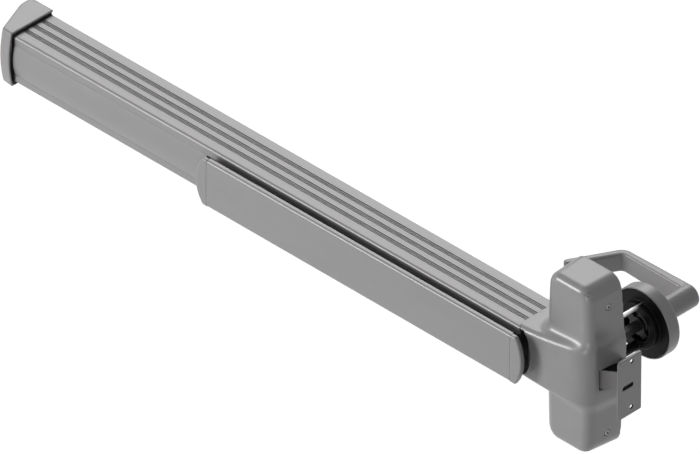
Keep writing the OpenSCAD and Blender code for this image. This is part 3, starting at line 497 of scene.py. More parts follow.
@dataclass
class Rail:
    """The extruded rail with its ribbed bands, its filler and its gasket.

    The bands lie above and below, and the first starts band_first off the door. The
    lips leave the front open between them for the crowned filler, whose right end
    keeps pad_gap off the pad's end.
    """

    pad: Pad
    x0: float = -760.8
    x1: float = -54.0
    back: float = 2.7
    front: float = 56.0
    half: float = 28.2
    wall: float = 2.2
    lip: float = 9.8
    edge_r: float = 3.2
    edge_steps: int = 6
    band_first: float = 13.8
    band_pitch: float = 12.0
    bands: int = 3
    band_w: float = 5.7
    recess: float = 1.1
    bead_r: float = 0.6
    beads: int = 2
    bead_pitch: float = 2.3
    filler_crown: float = 2.7
    filler_deep: float = 5.0
    filler_rows: int = 33
    filler_side_gap: float = 0.2
    filler_left_gap: float = 0.3
    pad_gap: float = 3.5
    gasket_top: float = 2.0
    gasket_front: float = 1.7
    gasket_r: float = 2.5
    gasket_steps: int = 5
    gasket_left: float = 2.5
    gasket_right: float = 0.2

    def outline(self) -> list[Point]:
        """Outline of the rail, open between its lips.

        Returns:
            The closed outline, as (Y, Z).
        """
        r, h, f = self.edge_r, self.half, self.front
        side = arc(f - r, h - r, r, 0, 90, self.edge_steps)
        for k in reversed(range(self.bands)):
            d = self.band_first + k * self.band_pitch
            low = h - self.recess
            side += [(d + self.band_w, h), (d + self.band_w, low), (d, low), (d, h)]
        side += [(self.back, h)]
        open_half = h - self.lip
        inner_f, inner_h = f - self.wall, h - self.wall
        inner_b = self.back + self.wall
        upper = [(inner_f, inner_h), (inner_f, open_half), (f, open_half)] + side
        lower = [(d, -z) for d, z in reversed(upper)]
        ring = upper + lower + [(inner_b, -inner_h), (inner_b, inner_h)]
        return [(-d, z) for d, z in ring]

    def build(self) -> None:
        """Builds the rail and what is fixed to it."""
        body = extrude(self.outline(), Axis.X, self.x0, self.x1)
        add_piece(
            "rail_extrusion", body, EXTRUSION, Body.DEVICE, ["rail"],
            flat=True,
        )
        self.build_beads()
        self.build_filler()
        self.build_gasket()

    def build_beads(self) -> None:
        """Beads in the ribbed bands above and below, repeated by Geometry Nodes."""
        first = -(self.band_first + self.band_w / 2 + self.bead_pitch / 2)
        values = {
            "Length": (self.x1 - self.x0) * MM,
            "Bead Radius": self.bead_r * MM,
            "Beads": self.beads,
            "Bead Pitch": self.bead_pitch * MM,
            "Bands": self.bands,
            "Band Pitch": -self.band_pitch * MM,
        }
        tree = bead_tree(EXTRUSION.build())
        z = self.half - self.bead_r
        for name, height in (("rail_beads", z), ("rail_beads_below", -z)):
            values["Start"] = (self.x0 * MM, first * MM, height * MM)
            baked = baked_nodes(name, tree, values)
            settle(baked, Body.DEVICE)

    def build_filler(self) -> None:
        """Crowned filler, whose right end follows the pad's rounded end."""
        half = self.half - self.lip - self.filler_side_gap
        top = self.front + self.filler_crown
        r = crown_radius(half, self.filler_crown)
        centre_x = self.pad.x0 - self.pad.end_len + self.pad.end_r
        end_r = self.pad.end_r + self.pad_gap
        left = self.x0 + self.filler_left_gap
        points, faces = [], []
        rows = np.linspace(-half, half, self.filler_rows)
        for z in rows:
            right = centre_x - math.sqrt(end_r**2 - z * z)
            front = top - r + math.sqrt(r * r - z * z)
            back = front - self.filler_deep
            for x, d in ((left, front), (right, front), (right, back), (left, back)):
                points.append((x, -d, z))
        for i in range(len(rows) - 1):
            a, b = 4 * i, 4 * (i + 1)
            for k in range(4):
                m = (k + 1) % 4
                faces.append((a + k, a + m, b + m, b + k))
        last = 4 * (len(rows) - 1)
        faces += [(0, 1, 2, 3), (last, last + 1, last + 2, last + 3)]
        add_piece(
            "rail_front_filler", outward((np.array(points), faces)), EXTRUSION,
            Body.DEVICE, ["rail_filler"], flat=True,
        )

    def build_gasket(self) -> None:
        """Black gasket between the rail and the end cap."""
        h, f = self.half + self.gasket_top, self.front + self.gasket_front
        r, n = self.gasket_r, self.gasket_steps
        ring = arc(f - r, h - r, r, 0, 90, n) + [(self.back, h), (self.back, -h)]
        ring += arc(f - r, r - h, r, -90, 0, n)
        left, right = self.x0 - self.gasket_left, self.x0 - self.gasket_right
        solid = extrude([(-d, z) for d, z in ring], Axis.X, left, right)
        add_piece(
            "rail_gasket", solid, GASKET, Body.DEVICE, ["end_gasket"],
            flat=True,
        )


def socket_id(tree: bpy.types.NodeTree, name: str) -> str:
    """Identifier of a node group's input.

    Args:
        tree: Node group.
        name: Name of the input.

    Returns:
        The identifier that a modifier knows the input by.
    """
    for item in tree.interface.items_tree:
        if item.item_type == "SOCKET" and item.in_out == "INPUT" and item.name == name:
            return item.identifier
    raise KeyError(name)


def new_tree(name: str, inputs: dict[str, str]) -> bpy.types.NodeTree:
    """Geometry node group with named inputs and one geometry output.

    Args:
        name: Name of the group.
        inputs: Input names and their kinds, as Int, Float or Vector.

    Returns:
        The group, with its input and output nodes.
    """
    tree = bpy.data.node_groups.new(name, "GeometryNodeTree")
    for label, kind in inputs.items():
        tree.interface.new_socket(label, in_out="INPUT", socket_type=f"NodeSocket{kind}")
    tree.interface.new_socket("Geometry", in_out="OUTPUT", socket_type="NodeSocketGeometry")
    tree.nodes.new("NodeGroupInput")
    tree.nodes.new("NodeGroupOutput")
    return tree


def baked_nodes(
    name: str, tree: bpy.types.NodeTree, values: dict[str, object]
) -> bpy.types.Object:
    """Runs a node group and keeps its result as a plain mesh.

    Args:
        name: Name of the piece.
        tree: Geometry node group.
        values: Input values by name.

    Returns:
        The object, at the origin and with no modifier.
    """
    holder = bpy.data.objects.new(name, bpy.data.meshes.new(name + "_seed"))
    bpy.context.scene.collection.objects.link(holder)
    modifier = holder.modifiers.new("repeat", "NODES")
    modifier.node_group = tree
    for label, value in values.items():
        modifier[socket_id(tree, label)] = value
    graph = bpy.context.evaluated_depsgraph_get()
    mesh = bpy.data.meshes.new_from_object(holder.evaluated_get(graph))
    holder.modifiers.remove(modifier)
    holder.data = mesh
    mesh.name = name
    mesh.shade_smooth()
    mesh.set_sharp_from_angle(angle=BEAD_SHARP_ANGLE)
    return holder


def bead_tree(material: bpy.types.Material) -> bpy.types.NodeTree:
    """Node group of straight beads, side by side in bands.

    Args:
        material: Material of the beads.

    Returns:
        The group.
    """
    tree = new_tree(
        "ribbed_bands",
        {
            "Length": "Float",
            "Bead Radius": "Float",
            "Beads": "Int",
            "Bead Pitch": "Float",
            "Bands": "Int",
            "Band Pitch": "Float",
            "Start": "Vector",
        },
    )
    nodes, links = tree.nodes, tree.links
    source, target = nodes["Group Input"], nodes["Group Output"]
    along = nodes.new("ShaderNodeCombineXYZ")
    links.new(source.outputs["Length"], along.inputs["X"])
    line = nodes.new("GeometryNodeCurvePrimitiveLine")
    links.new(along.outputs["Vector"], line.inputs["End"])
    round_profile = nodes.new("GeometryNodeCurvePrimitiveCircle")
    round_profile.inputs["Resolution"].default_value = BEAD_SIDES
    links.new(source.outputs["Bead Radius"], round_profile.inputs["Radius"])
    bar = nodes.new("GeometryNodeCurveToMesh")
    bar.inputs["Fill Caps"].default_value = True
    links.new(line.outputs["Curve"], bar.inputs["Curve"])
    links.new(round_profile.outputs["Curve"], bar.inputs["Profile Curve"])

    def spread(count: str, pitch: str, geometry: bpy.types.NodeSocket) -> bpy.types.NodeSocket:
        """Repeats a geometry along Y.

        Args:
            count: Name of the input that holds the count.
            pitch: Name of the input that holds the pitch.
            geometry: Socket of what is repeated.

        Returns:
            The socket of the copies.
        """
        offset = nodes.new("ShaderNodeCombineXYZ")
        links.new(source.outputs[pitch], offset.inputs["Y"])
        points = nodes.new("GeometryNodeMeshLine")
        links.new(source.outputs[count], points.inputs["Count"])
        links.new(offset.outputs["Vector"], points.inputs["Offset"])
        copies = nodes.new("GeometryNodeInstanceOnPoints")
        links.new(points.outputs["Mesh"], copies.inputs["Points"])
        links.new(geometry, copies.inputs["Instance"])
        real = nodes.new("GeometryNodeRealizeInstances")
        links.new(copies.outputs["Instances"], real.inputs["Geometry"])
        return real.outputs["Geometry"]

    band = spread("Beads", "Bead Pitch", bar.outputs["Mesh"])
    all_bands = spread("Bands", "Band Pitch", band)
    place = nodes.new("GeometryNodeTransform")
    links.new(all_bands, place.inputs["Geometry"])
    links.new(source.outputs["Start"], place.inputs["Translation"])
    dress = nodes.new("GeometryNodeSetMaterial")
    dress.inputs["Material"].default_value = material
    links.new(place.outputs["Geometry"], dress.inputs["Geometry"])
    links.new(dress.outputs["Geometry"], target.inputs["Geometry"])
    return tree


@dataclass
class EndCap:
    """Chamfered end cap with a crowned front.

    From its right side the front falls by front_fall over slope_x, and then slopes
    down to the left by slope_y in all. At the door the left foot is cut back by
    heel_x.
    """

    x0: float = -793.4
    x1: float = -761.9
    half: float = 32.5
    front: float = 59.1
    bulge: float = 4.2
    slope_x: float = 14.2
    slope_y: float = 44.2
    front_fall: float = 1.5
    heel_x: float = 6.0
    heel_slope: float = 2.4
    edge: float = 1.8
    heel_edge: float = 1.0
    rim_edge: float = 0.8
    inner_edge: float = 0.4
    wall: float = 2.5
    cell: float = 1.0

    def shell(self, x: np.ndarray, y: np.ndarray, z: np.ndarray) -> np.ndarray:
        """Signed distance of the cap without its back and its open side.

        Args:
            x: Places along the bar.
            y: Places through the door.
            z: Heights.

        Returns:
            The distances, negative inside.
        """
        d = -y
        crown = self.bulge * (1 - (z / self.half) ** 2)
        front = d - (self.front + crown) - (x - self.x1) * self.front_fall / self.slope_x
        run = np.array([self.slope_x - (self.x1 - self.x0), self.slope_y - self.front_fall])
        nx, ny = np.array([-run[1], run[0]]) / np.hypot(*run)
        cx, cd = self.x1 - self.slope_x, self.front - self.front_fall + crown
        slope = (x - cx) * nx + (d - cd) * -ny
        left = self.x0 - x
        plan = smax(smax(front, slope, self.edge), left, self.edge)
        return rounded(plan, np.abs(z) - self.half, self.edge)

    def field(self, x: np.ndarray, y: np.ndarray, z: np.ndarray) -> np.ndarray:
        """Signed distance of the hollow cap.

        Args:
            x: Places along the bar.
            y: Places through the door.
            z: Heights.

        Returns:
            The distances, negative inside.
        """
        outer = self.shell(x, y, z)
        heel = (self.x0 + self.heel_x - x + y * self.heel_slope) / math.hypot(1, self.heel_slope)
        back = smax(y, heel, self.heel_edge)
        solid = smax(smax(outer, back, self.rim_edge), x - self.x1, self.rim_edge)
        return smax(solid, -(outer + self.wall), self.inner_edge)

    def build(self) -> None:
        """Builds the cap."""
        low = (self.x0 - MARGIN, -self.front - self.bulge - MARGIN, -self.half - MARGIN)
        high = (self.x1 + MARGIN, MARGIN, self.half + MARGIN)
        solid = skin(self.field, low, high, self.cell)
        add_piece("end_cap_cover", solid, CASE, Body.DEVICE, ["end_cap"])


@dataclass
class Pad:
    """Push pad with its two rounded ends.

    The channel's corners are moved out by edge_out and stop at edge_end degrees, where
    they meet the crowned face.
    """

    x0: float = -471.6
    x1: float = -50.6
    half: float = 28.3
    front: float = 73.4
    back: float = 67.1
    wall: float = 2.4
    crown: float = 0.8
    edge_r: float = 3.0
    edge_end: float = 8.0
    edge_out: float = 0.14
    edge_steps: int = 6
    face_steps: int = 25
    end_len: float = 15.7
    end_r: float = 49.1
    end_deep: float = 5.7
    end_gap: float = 0.12
    end_edge: float = 1.7
    end_corner: float = 1.2
    end_back_edge: float = 0.6
    end_seam_edge: float = 0.3
    end_room: float = 8.0
    cell: float = 0.9

    def outline(self) -> list[Point]:
        """Outline of the pad's channel.

        Returns:
            The closed outline, as (Y, Z).
        """
        h, r, f = self.half, self.edge_r, self.front - self.crown
        big = crown_radius(h, self.crown)
        face = []
        for z in np.linspace(h - r, r - h, self.face_steps):
            face.append((self.front - big + math.sqrt(big * big - z * z), z))
        corner = arc(f - r + self.edge_out, h - r, r, 90, self.edge_end, self.edge_steps)
        outer = [(self.back, h)] + corner + face[1:-1]
        outer += [(d, -z) for d, z in reversed(corner)] + [(self.back, -h)]
        inner_h, inner_f, b = h - self.wall, self.front - self.wall - self.crown, self.back
        inner = [(b, -inner_h), (inner_f, -inner_h), (inner_f, inner_h), (b, inner_h)]
        return [(-d, z) for d, z in outer + inner]

    def end_field(self, x: np.ndarray, y: np.ndarray, z: np.ndarray) -> np.ndarray:
        """Signed distance of the right end, with the channel's end at X = 0.

        Args:
            x: Places along the bar, from the channel's end.
            y: Places through the door.
            z: Heights.

        Returns:
            The distances, negative inside.
        """
        d = -y
        big = crown_radius(self.half, self.crown)
        face = np.hypot(d - (self.front - big), z) - big
        plan = np.hypot(x - (self.end_len - self.end_r), z) - self.end_r
        rim = rounded(plan, np.abs(z) - self.half, self.end_corner)
        solid = rounded(rim, face, self.end_edge)
        solid = smax(solid, self.front - self.end_deep - d, self.end_back_edge)
        return smax(solid, self.end_gap - x, self.end_seam_edge)

    def build(self) -> None:
        """Builds the pad and its two ends."""
        solid = extrude(self.outline(), Axis.X, self.x0, self.x1)
        add_piece(
            "pad_face", solid, EXTRUSION, Body.PAD, ["push_pad"], flat=True
        )
        low = (-MARGIN, -self.front - MARGIN, -self.half - MARGIN)
        high = (self.end_len + MARGIN, -self.front + self.end_room, self.half + MARGIN)
        points, faces = skin(self.end_field, low, high, self.cell)
        right = points + np.array([self.x1, 0, 0])
        left = points * np.array([-1, 1, 1]) + np.array([self.x0, 0, 0])
        turned = [f[::-1] for f in faces]
        for name, node, solid in (
            ("pad_right_end", "pad_end_right", (right, faces)),
            ("pad_left_end", "pad_end_left", (left, turned)),
        ):
            add_piece(name, solid, CASE, Body.PAD, [node])


# Centre case, latch and strike


@dataclass
class CentreCase:
    """Cover of the centre case: an upright blended with a saddle over the rail.

    The upright is widest at swell_z, narrows towards its front by draft and swell, and
    its lower end rises by fall. To the right the saddle's front curves back by
    saddle_curve and its height grows by saddle_grow, and saddle_in sets its side in
    from the upright's. The rail and the latch have rooms of their own size and a gap.
    """

    rail: Rail
    latch: Latch
    top: float = 103.0
    bottom: float = -99.4
    fall: float = 3.6
    half_w: float = 29.0
    depth: float = 44.0
    draft: float = 2.2
    swell: float = 3.2
    front_swell: float = 1.6
    swell_z: float = 8.0
    swell_up: float = 84.0
    swell_down: float = 97.0
    swell_power: float = 2.2
    corner_r: float = 15.0
    edge_top: float = 8.5
    edge_side: float = 10.0
    edge_blend: float = 12.0
    back_edge: float = 0.5
    left_edge: float = 0.6
    wall: float = 2.0
    saddle_x: float = -57.0
    saddle_d: float = 57.2
    saddle_curve: float = 0.00098
    saddle_half: float = 29.4
    saddle_grow: float = 0.075
    saddle_in: float = 0.3
    saddle_turn: float = 19.0
    saddle_edge: float = 6.5
    fillet: float = 12.0
    notch_x: float = -84.0
    notch_r: float = 44.6
    notch_half: float = 26.0
    notch_floor: float = 44.0
    notch_edge: float = 4.2
    notch_lip_edge: float = 1.5
    notch_lip_low: float = 20.0
    notch_lip_high: float = 26.5
    rail_gap: float = 0.6
    latch_gap: float = 0.8
    latch_corner: float = 0.6
    latch_edge: float = 0.8
    inner_x: float = 20.0
    screw_y: float = 18.4
    screw_z: float = 76.0
    screw_x: float = 29.15
    shank_r: float = 2.3
    sink_r: float = 3.6
    sink_x: float = 29.2
    sink_edge: float = 0.6
    room_x: float = 38.0
    room_d: float = 59.0
    cell: float = 1.2

    def side(self, d: np.ndarray, z: np.ndarray) -> np.ndarray:
        """Half width of the upright, widest a little above its middle.

        Args:
            d: Distances from the door.
            z: Heights.

        Returns:
            The half widths.
        """
        off = z - self.swell_z
        reach = np.where(off > 0, self.swell_up, self.swell_down)
        swell = np.maximum(1 - (np.abs(off) / reach) ** self.swell_power, 0)
        share = (self.depth - d) / self.depth
        return self.half_w + self.front_swell * swell + share * (self.draft + self.swell * swell)

    def upright(self, x: np.ndarray, d: np.ndarray, z: np.ndarray) -> np.ndarray:
        """Signed distance of the upright, endless towards the door.

        Args:
            x: Places along the bar.
            d: Distances from the door.
            z: Heights.

        Returns:
            The distances, negative inside.
        """
        r = self.corner_r
        a = np.abs(x) - self.side(d, z)
        b = np.maximum(z - self.top, self.bottom + self.fall * d / self.depth - z)
        plan = rounded(a, b, r)
        vertical = step_up(a - b, -self.edge_blend, self.edge_blend)
        edge = self.edge_top + (self.edge_side - self.edge_top) * vertical
        return rounded(plan, d - self.depth, edge)

    def saddle(self, x: np.ndarray, d: np.ndarray, z: np.ndarray) -> np.ndarray:
        """Signed distance of the saddle, endless towards the door and to the left.

        Args:
            x: Places along the bar.
            d: Distances from the door.
            z: Heights.

        Returns:
            The distances, negative inside.
        """
        run = np.maximum(x - self.saddle_x, 0)
        top = np.abs(z) - (self.saddle_half + self.saddle_grow * run)
        front = d - (self.saddle_d - self.saddle_curve * run * run)
        right = x - self.side(d, z) + self.saddle_in
        body = smax(front, right, self.saddle_turn)
        body = rounded(top, body, self.saddle_edge)
        # A deep round notch leaves the dark gap beside the pad's end
        plan = self.notch_r - np.hypot(x - self.notch_x, z)
        notch = np.minimum(np.minimum(plan, self.notch_half - np.abs(z)), d - self.notch_floor)
        lips = step_up(np.abs(z), self.notch_lip_low, self.notch_lip_high)
        edge = self.notch_edge + (self.notch_lip_edge - self.notch_edge) * lips
        return smax(body, notch, edge)

    def form(self, x: np.ndarray, d: np.ndarray, z: np.ndarray) -> np.ndarray:
        """Signed distance of both forms with their fillet."""
        return smin(self.upright(x, d, z), self.saddle(x, d, z), self.fillet)

    def field(self, x: np.ndarray, y: np.ndarray, z: np.ndarray) -> np.ndarray:
        """Signed distance of the hollow cover with its openings.

        Args:
            x: Places along the bar.
            y: Places through the door.
            z: Heights.

        Returns:
            The distances, negative inside.
        """
        d = -y
        outer = self.form(x, d, z)
        back = smax(outer, -d, self.back_edge)
        solid = smax(back, self.saddle_x - x, self.left_edge)
        shell = np.maximum(solid, -(outer + self.wall))
        shell = np.maximum(shell, -self.rail_room(x, d, z))
        shell = smax(shell, -self.latch_room(x, d, z), self.latch_edge)
        for side in (-1, 1):
            bore = np.hypot(d - self.screw_y, z - side * self.screw_z)
            shell = smax(shell, -np.maximum(bore - self.sink_r, self.sink_x - x), self.sink_edge)
            shell = np.maximum(shell, -np.maximum(bore - self.shank_r, self.inner_x - x))
        return shell

    def rail_room(self, x: np.ndarray, d: np.ndarray, z: np.ndarray) -> np.ndarray:
        """Signed distance of the room that the rail's end takes up."""
        beside = np.maximum(np.abs(z) - self.rail.half, d - self.rail.front)
        return np.maximum(beside, x - (self.rail.x1 + self.rail_gap))

    def latch_room(self, x: np.ndarray, d: np.ndarray, z: np.ndarray) -> np.ndarray:
        """Signed distance of the opening that the latch moves in.

        Args:
            x: Places along the bar.
            d: Distances from the door.
            z: Heights.

        Returns:
            The distances, negative inside.
        """
        bolt, gap = self.latch, self.latch_gap
        mid_z, half_z = (bolt.low + bolt.high) / 2, (bolt.high - bolt.low) / 2 + gap
        mid_d, half_d = (bolt.back + bolt.front) / 2, (bolt.front - bolt.back) / 2 + gap
        opening = rounded(np.abs(z - mid_z) - half_z, np.abs(d - mid_d) - half_d, self.latch_corner)
        return np.maximum(opening, self.inner_x - x)

    def build(self) -> None:
        """Builds the cover and its two side screws."""
        low = (self.saddle_x - MARGIN, -self.room_d, self.bottom - MARGIN)
        high = (self.room_x, MARGIN, self.top + MARGIN)
        solid = skin(self.field, low, high, self.cell)
        add_piece("case_cover", solid, CASE, Body.DEVICE, ["cover"])
        self.build_screws()

    def build_screws(self) -> None:
        """Two socket screws in the side, repeated by Geometry Nodes."""
        head = bpy.data.meshes.new("side_screw")
        points, faces = ScrewHead().solid()
        head.from_pydata([tuple(p) for p in np.asarray(points) * MM], [], faces)
        seed = bpy.data.objects.new("side_screw_seed", head)
        bpy.context.scene.collection.objects.link(seed)
        tree = row_tree(seed, PLATED.build())
        values = {
            "Start": (self.screw_x * MM, -self.screw_y * MM, -self.screw_z * MM),
            "Offset": (0.0, 0.0, 2 * self.screw_z * MM),
            "Count": 2,
        }
        screws = baked_nodes("case_side_screws", tree, values)
        bpy.data.objects.remove(seed)
        settle(screws, Body.DEVICE, ["cover_screws"])


def row_tree(seed: bpy.types.Object, material: bpy.types.Material) -> bpy.types.NodeTree:
    """Node group that repeats an object's mesh at even steps.

    Args:
        seed: Object to repeat.
        material: Material of the copies.

    Returns:
        The group.
    """
    tree = new_tree(
        seed.name + "_row", {"Start": "Vector", "Offset": "Vector", "Count": "Int"}
    )
    nodes, links = tree.nodes, tree.links
    source, target = nodes["Group Input"], nodes["Group Output"]
    points = nodes.new("GeometryNodeMeshLine")
    links.new(source.outputs["Start"], points.inputs["Start Location"])
    links.new(source.outputs["Offset"], points.inputs["Offset"])
    links.new(source.outputs["Count"], points.inputs["Count"])
    shape = nodes.new("GeometryNodeObjectInfo")
    shape.inputs["Object"].default_value = seed
    copies = nodes.new("GeometryNodeInstanceOnPoints")
    links.new(points.outputs["Mesh"], copies.inputs["Points"])
    links.new(shape.outputs["Geometry"], copies.inputs["Instance"])
    real = nodes.new("GeometryNodeRealizeInstances")
    links.new(copies.outputs["Instances"], real.inputs["Geometry"])
    dress = nodes.new("GeometryNodeSetMaterial")
    dress.inputs["Material"].default_value = material
    links.new(real.outputs["Geometry"], dress.inputs["Geometry"])
    links.new(dress.outputs["Geometry"], target.inputs["Geometry"])
    return tree


@dataclass(frozen=True)
class ScrewHead:
    """Head of a socket screw along +X, with a short shank.

    Args:
        radius: Radius of the head.
        height: Height of the head.
        edge: Radius of the head's rounded rim.
        socket: Radius of the six-sided recess.
        deep: Depth of the recess.
        shank_r: Radius of the shank.
        shank_len: Length of the shank.
        points: Number of points on each ring.
        edge_steps: Number of rings on the rounded rim.
    """

    radius: float = 3.2
    height: float = 2.35
    edge: float = 0.9
    socket: float = 1.65
    deep: float = 1.5
    shank_r: float = 2.0
    shank_len: float = 6.0
    points: int = 48
    edge_steps: int = 6

    def ring(self, r: float, h: float, hexagon: bool = False) -> list[tuple[float, ...]]:
        """Points of one ring about X.

        Args:
            r: Radius of the ring.
            h: Place along X.
            hexagon: True for a hexagon, which has its points on its flats too.

        Returns:
            The points.
        """
        ring, sixth = [], math.pi / 3
        for k in range(self.points):
            a = 2 * math.pi * k / self.points
            reach = r
            if hexagon:
                reach = r * math.cos(sixth / 2) / math.cos((a % sixth) - sixth / 2)
            ring.append((h, reach * math.cos(a), reach * math.sin(a)))
        return ring

    def solid(self) -> Solid:
        """Joins the head ring by ring, from the shank to the recess.

        Returns:
            The solid, with faces outward.
        """
        n, e = self.points, self.edge
        points = self.ring(self.shank_r, -self.shank_len) + self.ring(self.shank_r, 0.0)
        points += self.ring(self.radius, 0.0)
        for a in np.radians(np.linspace(0, 90, self.edge_steps)):
            points += self.ring(
                self.radius - e + e * math.cos(a), self.height - e + e * math.sin(a)
            )
        points += self.ring(self.socket, self.height, hexagon=True)
        points += self.ring(self.socket, self.height - self.deep, hexagon=True)
        faces = []
        for i in range(0, len(points) - n, n):
            for k in range(n):
                m = (k + 1) % n
                faces.append((i + k, i + m, i + n + m, i + n + k))
        faces += [tuple(range(n)), tuple(range(len(points) - n, len(points)))]
        return outward((np.array(points), faces))


@dataclass
class Latch:
    """Latch bolt with a low-friction shoe on its bevel.

    The head runs from heel to tip, and the shoe hooks into a seat beside the bevel.
    The tail is two bars, with a bridge that joins their left ends.
    """

    root: float = 31.8
    tip: float = 49.8
    heel: float = 4.0
    front: float = 33.0
    back: float = 11.5
    bevel: float = 12.0
    low: float = -14.5
    high: float = 7.5
    edge: float = 0.45
    shoe_t: float = 1.6
    shoe_seat: float = 3.0
    shoe_hook: float = 2.9
    shoe_edge: float = 0.25
    tail_x0: float = -24.0
    tail_x1: float = 5.0
    tail_y0: float = -22.0
    tail_y1: float = -16.0
    tail_t: float = 2.0
    tail_bars: tuple[Point, Point] = ((0.5, 3.5), (-11.0, -8.0))
    tail_bridge: Point = (-8.1, 0.6)

    def build(self) -> None:
        """Builds the bolt's head with its tail, and the shoe."""
        s, r, t, f = self.shoe_t, self.root, self.tip, -self.front
        seat, hook = r - self.shoe_seat, r - self.shoe_hook
        head = [
            (self.heel, f), (seat, f), (seat, f + s), (r, f + s),
            (t, f + self.bevel + s), (t, -self.back), (self.heel, -self.back),
        ]
        bolt = extrude(head, Axis.Z, self.low, self.high)
        bars = [self.tail_bar(self.tail_x1, span) for span in self.tail_bars]
        bars.append(self.tail_bar(self.tail_x0 + self.tail_t, self.tail_bridge))
        add_piece(
            "latch_head", join(bolt, *bars), BLACK_AND_SHADE, Body.LATCH,
            ["latch_bolt"], bevel=self.edge,
        )
        shoe = [
            (hook, f), (r, f), (t, f + self.bevel),
            (t, f + self.bevel + s), (r, f + s), (hook, f + s),
        ]
        add_piece(
            "latch_bevel_shoe", extrude(shoe, Axis.Z, self.low, self.high), SHOE,
            Body.LATCH, ["latch_shoe"], bevel=self.shoe_edge,
        )

    def tail_bar(self, x1: float, span: Point) -> Solid:
        """Bar of the tail that ends at x1 and takes up a span of heights."""
        x0, y0, y1 = self.tail_x0, self.tail_y0, self.tail_y1
        return extrude([(x0, y0), (x1, y0), (x1, y1), (x0, y1)], Axis.Z, *span)


@dataclass
class Strike:
    """Strike plate with two holes, a slot and the keeper behind the latch.

    Towards its edge on the room's side the plate thins to lip_t over lip_run. A hole
    is straight for face_t and then flares.
    """

    x1: float = 63.6
    thick: float = 3.6
    y0: float = -38.0
    y1: float = -4.4
    mid_z: float = -2.1
    half: float = 34.5
    keeper_x: float = 38.4
    keeper_y: float = -11.0
    keeper_low: float = -18.5
    keeper_high: float = 11.5
    hole_r: float = 2.4
    hole_y: float = -18.2
    hole_mid: float = -0.5
    span: float = 55.0
    slot_y: float = -23.3
    slot_z: float = -1.1
    slot_half: float = 5.3
    lip_run: float = 5.0
    face_t: float = 1.9
    lip_t: float = 1.1
    corner: float = 0.8
    rim: float = 0.4
    keeper_in: float = 1.0
    keeper_fillet: float = 2.5
    hole_edge: float = 0.4
    slot_edge: float = 0.5
    flare: float = 1.3
    flare_run: float = 3.0
    # Black walls in the holes and a black plug in the slot paint the shade inside them
    shade_wall_half: float = 0.2
    shade_wall_shift: float = 0.05
    shade_wall_in: float = 0.35
    shade_plug_in: float = 2.4
    shade_plug_half: float = 0.7
    shade_plug_over: float = 0.15
    cell: float = 0.75
    shade_cell: float = 0.22
    room: float = 4.0

    def holes(self, y: np.ndarray, z: np.ndarray) -> list[np.ndarray]:
        """Distances from the middles of the lower and the upper hole."""
        places = [self.hole_mid + side * self.span / 2 for side in (-1, 1)]
        return [np.hypot(y - self.hole_y, z - place) for place in places]

    def slot(self, y: np.ndarray, z: np.ndarray) -> np.ndarray:
        """Distance from the slot's middle line."""
        return np.hypot(np.maximum(np.abs(y - self.slot_y) - self.slot_half, 0), z - self.slot_z)

    def field(self, x: np.ndarray, y: np.ndarray, z: np.ndarray) -> np.ndarray:
        """Signed distance of the strike.

        Args:
            x: Places along the bar.
            y: Places through the door.
            z: Heights.

        Returns:
            The distances, negative inside.
        """
        mid_y, half_y = (self.y0 + self.y1) / 2, (self.y1 - self.y0) / 2
        sides = np.abs(y - mid_y) - half_y
        face = rounded(sides, np.abs(z - self.mid_z) - self.half, self.corner)
        taper = (self.thick - self.lip_t) * step_up(self.y0 + self.lip_run - y, 0.0, self.lip_run)
        deep = np.maximum(x - self.x1, self.x1 - self.thick + taper - x)
        plate = rounded(face, deep, self.rim)
        mid_k = (self.keeper_low + self.keeper_high) / 2
        half_k = (self.keeper_high - self.keeper_low) / 2
        across = np.maximum(y - self.y1, self.keeper_y - y)
        wall = rounded(across, np.abs(z - mid_k) - half_k, self.corner)
        run = np.maximum(self.keeper_x - x, x - self.x1 + self.keeper_in)
        solid = smin(plate, rounded(wall, run, self.corner), self.keeper_fillet)
        solid = np.maximum(solid, np.maximum(y - self.y1, x - self.x1))
        flare = np.clip(self.x1 - self.face_t - x, 0, self.flare_run) * self.flare
        for hole in self.holes(y, z):
            solid = smax(solid, self.hole_r + flare - hole, self.hole_edge)
        return smax(solid, self.hole_r - self.slot(y, z), self.slot_edge)

    def painted_shade_field(self, x: np.ndarray, y: np.ndarray, z: np.ndarray) -> np.ndarray:
        """Signed distance of the black sheets that paint the shade in the holes and across the
        slot.

        Args:
            x: Places along the bar.
            y: Places through the door.
            z: Heights.

        Returns:
            The distances, negative inside.
        """
        span = np.maximum(x - (self.x1 - self.shade_wall_in), self.x1 - self.face_t - x)
        slot = self.slot(y, z) - self.hole_r
        shade_plug_x = np.abs(x - (self.x1 - self.shade_plug_in)) - self.shade_plug_half
        painted_shade = np.maximum(slot - self.shade_plug_over, shade_plug_x)
        for bore in (slot, *(hole - self.hole_r for hole in self.holes(y, z))):
            wall = np.abs(bore + self.shade_wall_shift) - self.shade_wall_half
            painted_shade = np.minimum(painted_shade, np.maximum(wall, span))
        return painted_shade

    def build(self) -> None:
        """Builds the strike and the black sheets that paint the shade in its holes and slot."""
        slot_end = self.slot_y - self.slot_half - self.hole_r
        far = self.span / 2 + self.room
        low = (self.x1 - self.room, slot_end - MARGIN, self.hole_mid - far)
        high = (self.x1, self.hole_y + self.room + MARGIN, self.hole_mid + far)
        # Painted shade: black sheets on the hole walls and a black plug across the slot
        painted_shade = skin(self.painted_shade_field, low, high, self.shade_cell)
        add_piece("strike_hole_linings", painted_shade, BLACK_AND_SHADE, Body.DEVICE)
        low = (self.keeper_x - MARGIN, self.y0 - MARGIN, self.mid_z - self.half - MARGIN)
        high = (self.x1 + MARGIN, self.y1 + MARGIN, self.mid_z + self.half + MARGIN)
        solid = skin(self.field, low, high, self.cell)
        add_piece("strike_face", solid, STRIKE, Body.DEVICE, ["strike_plate"])


# Outside trim


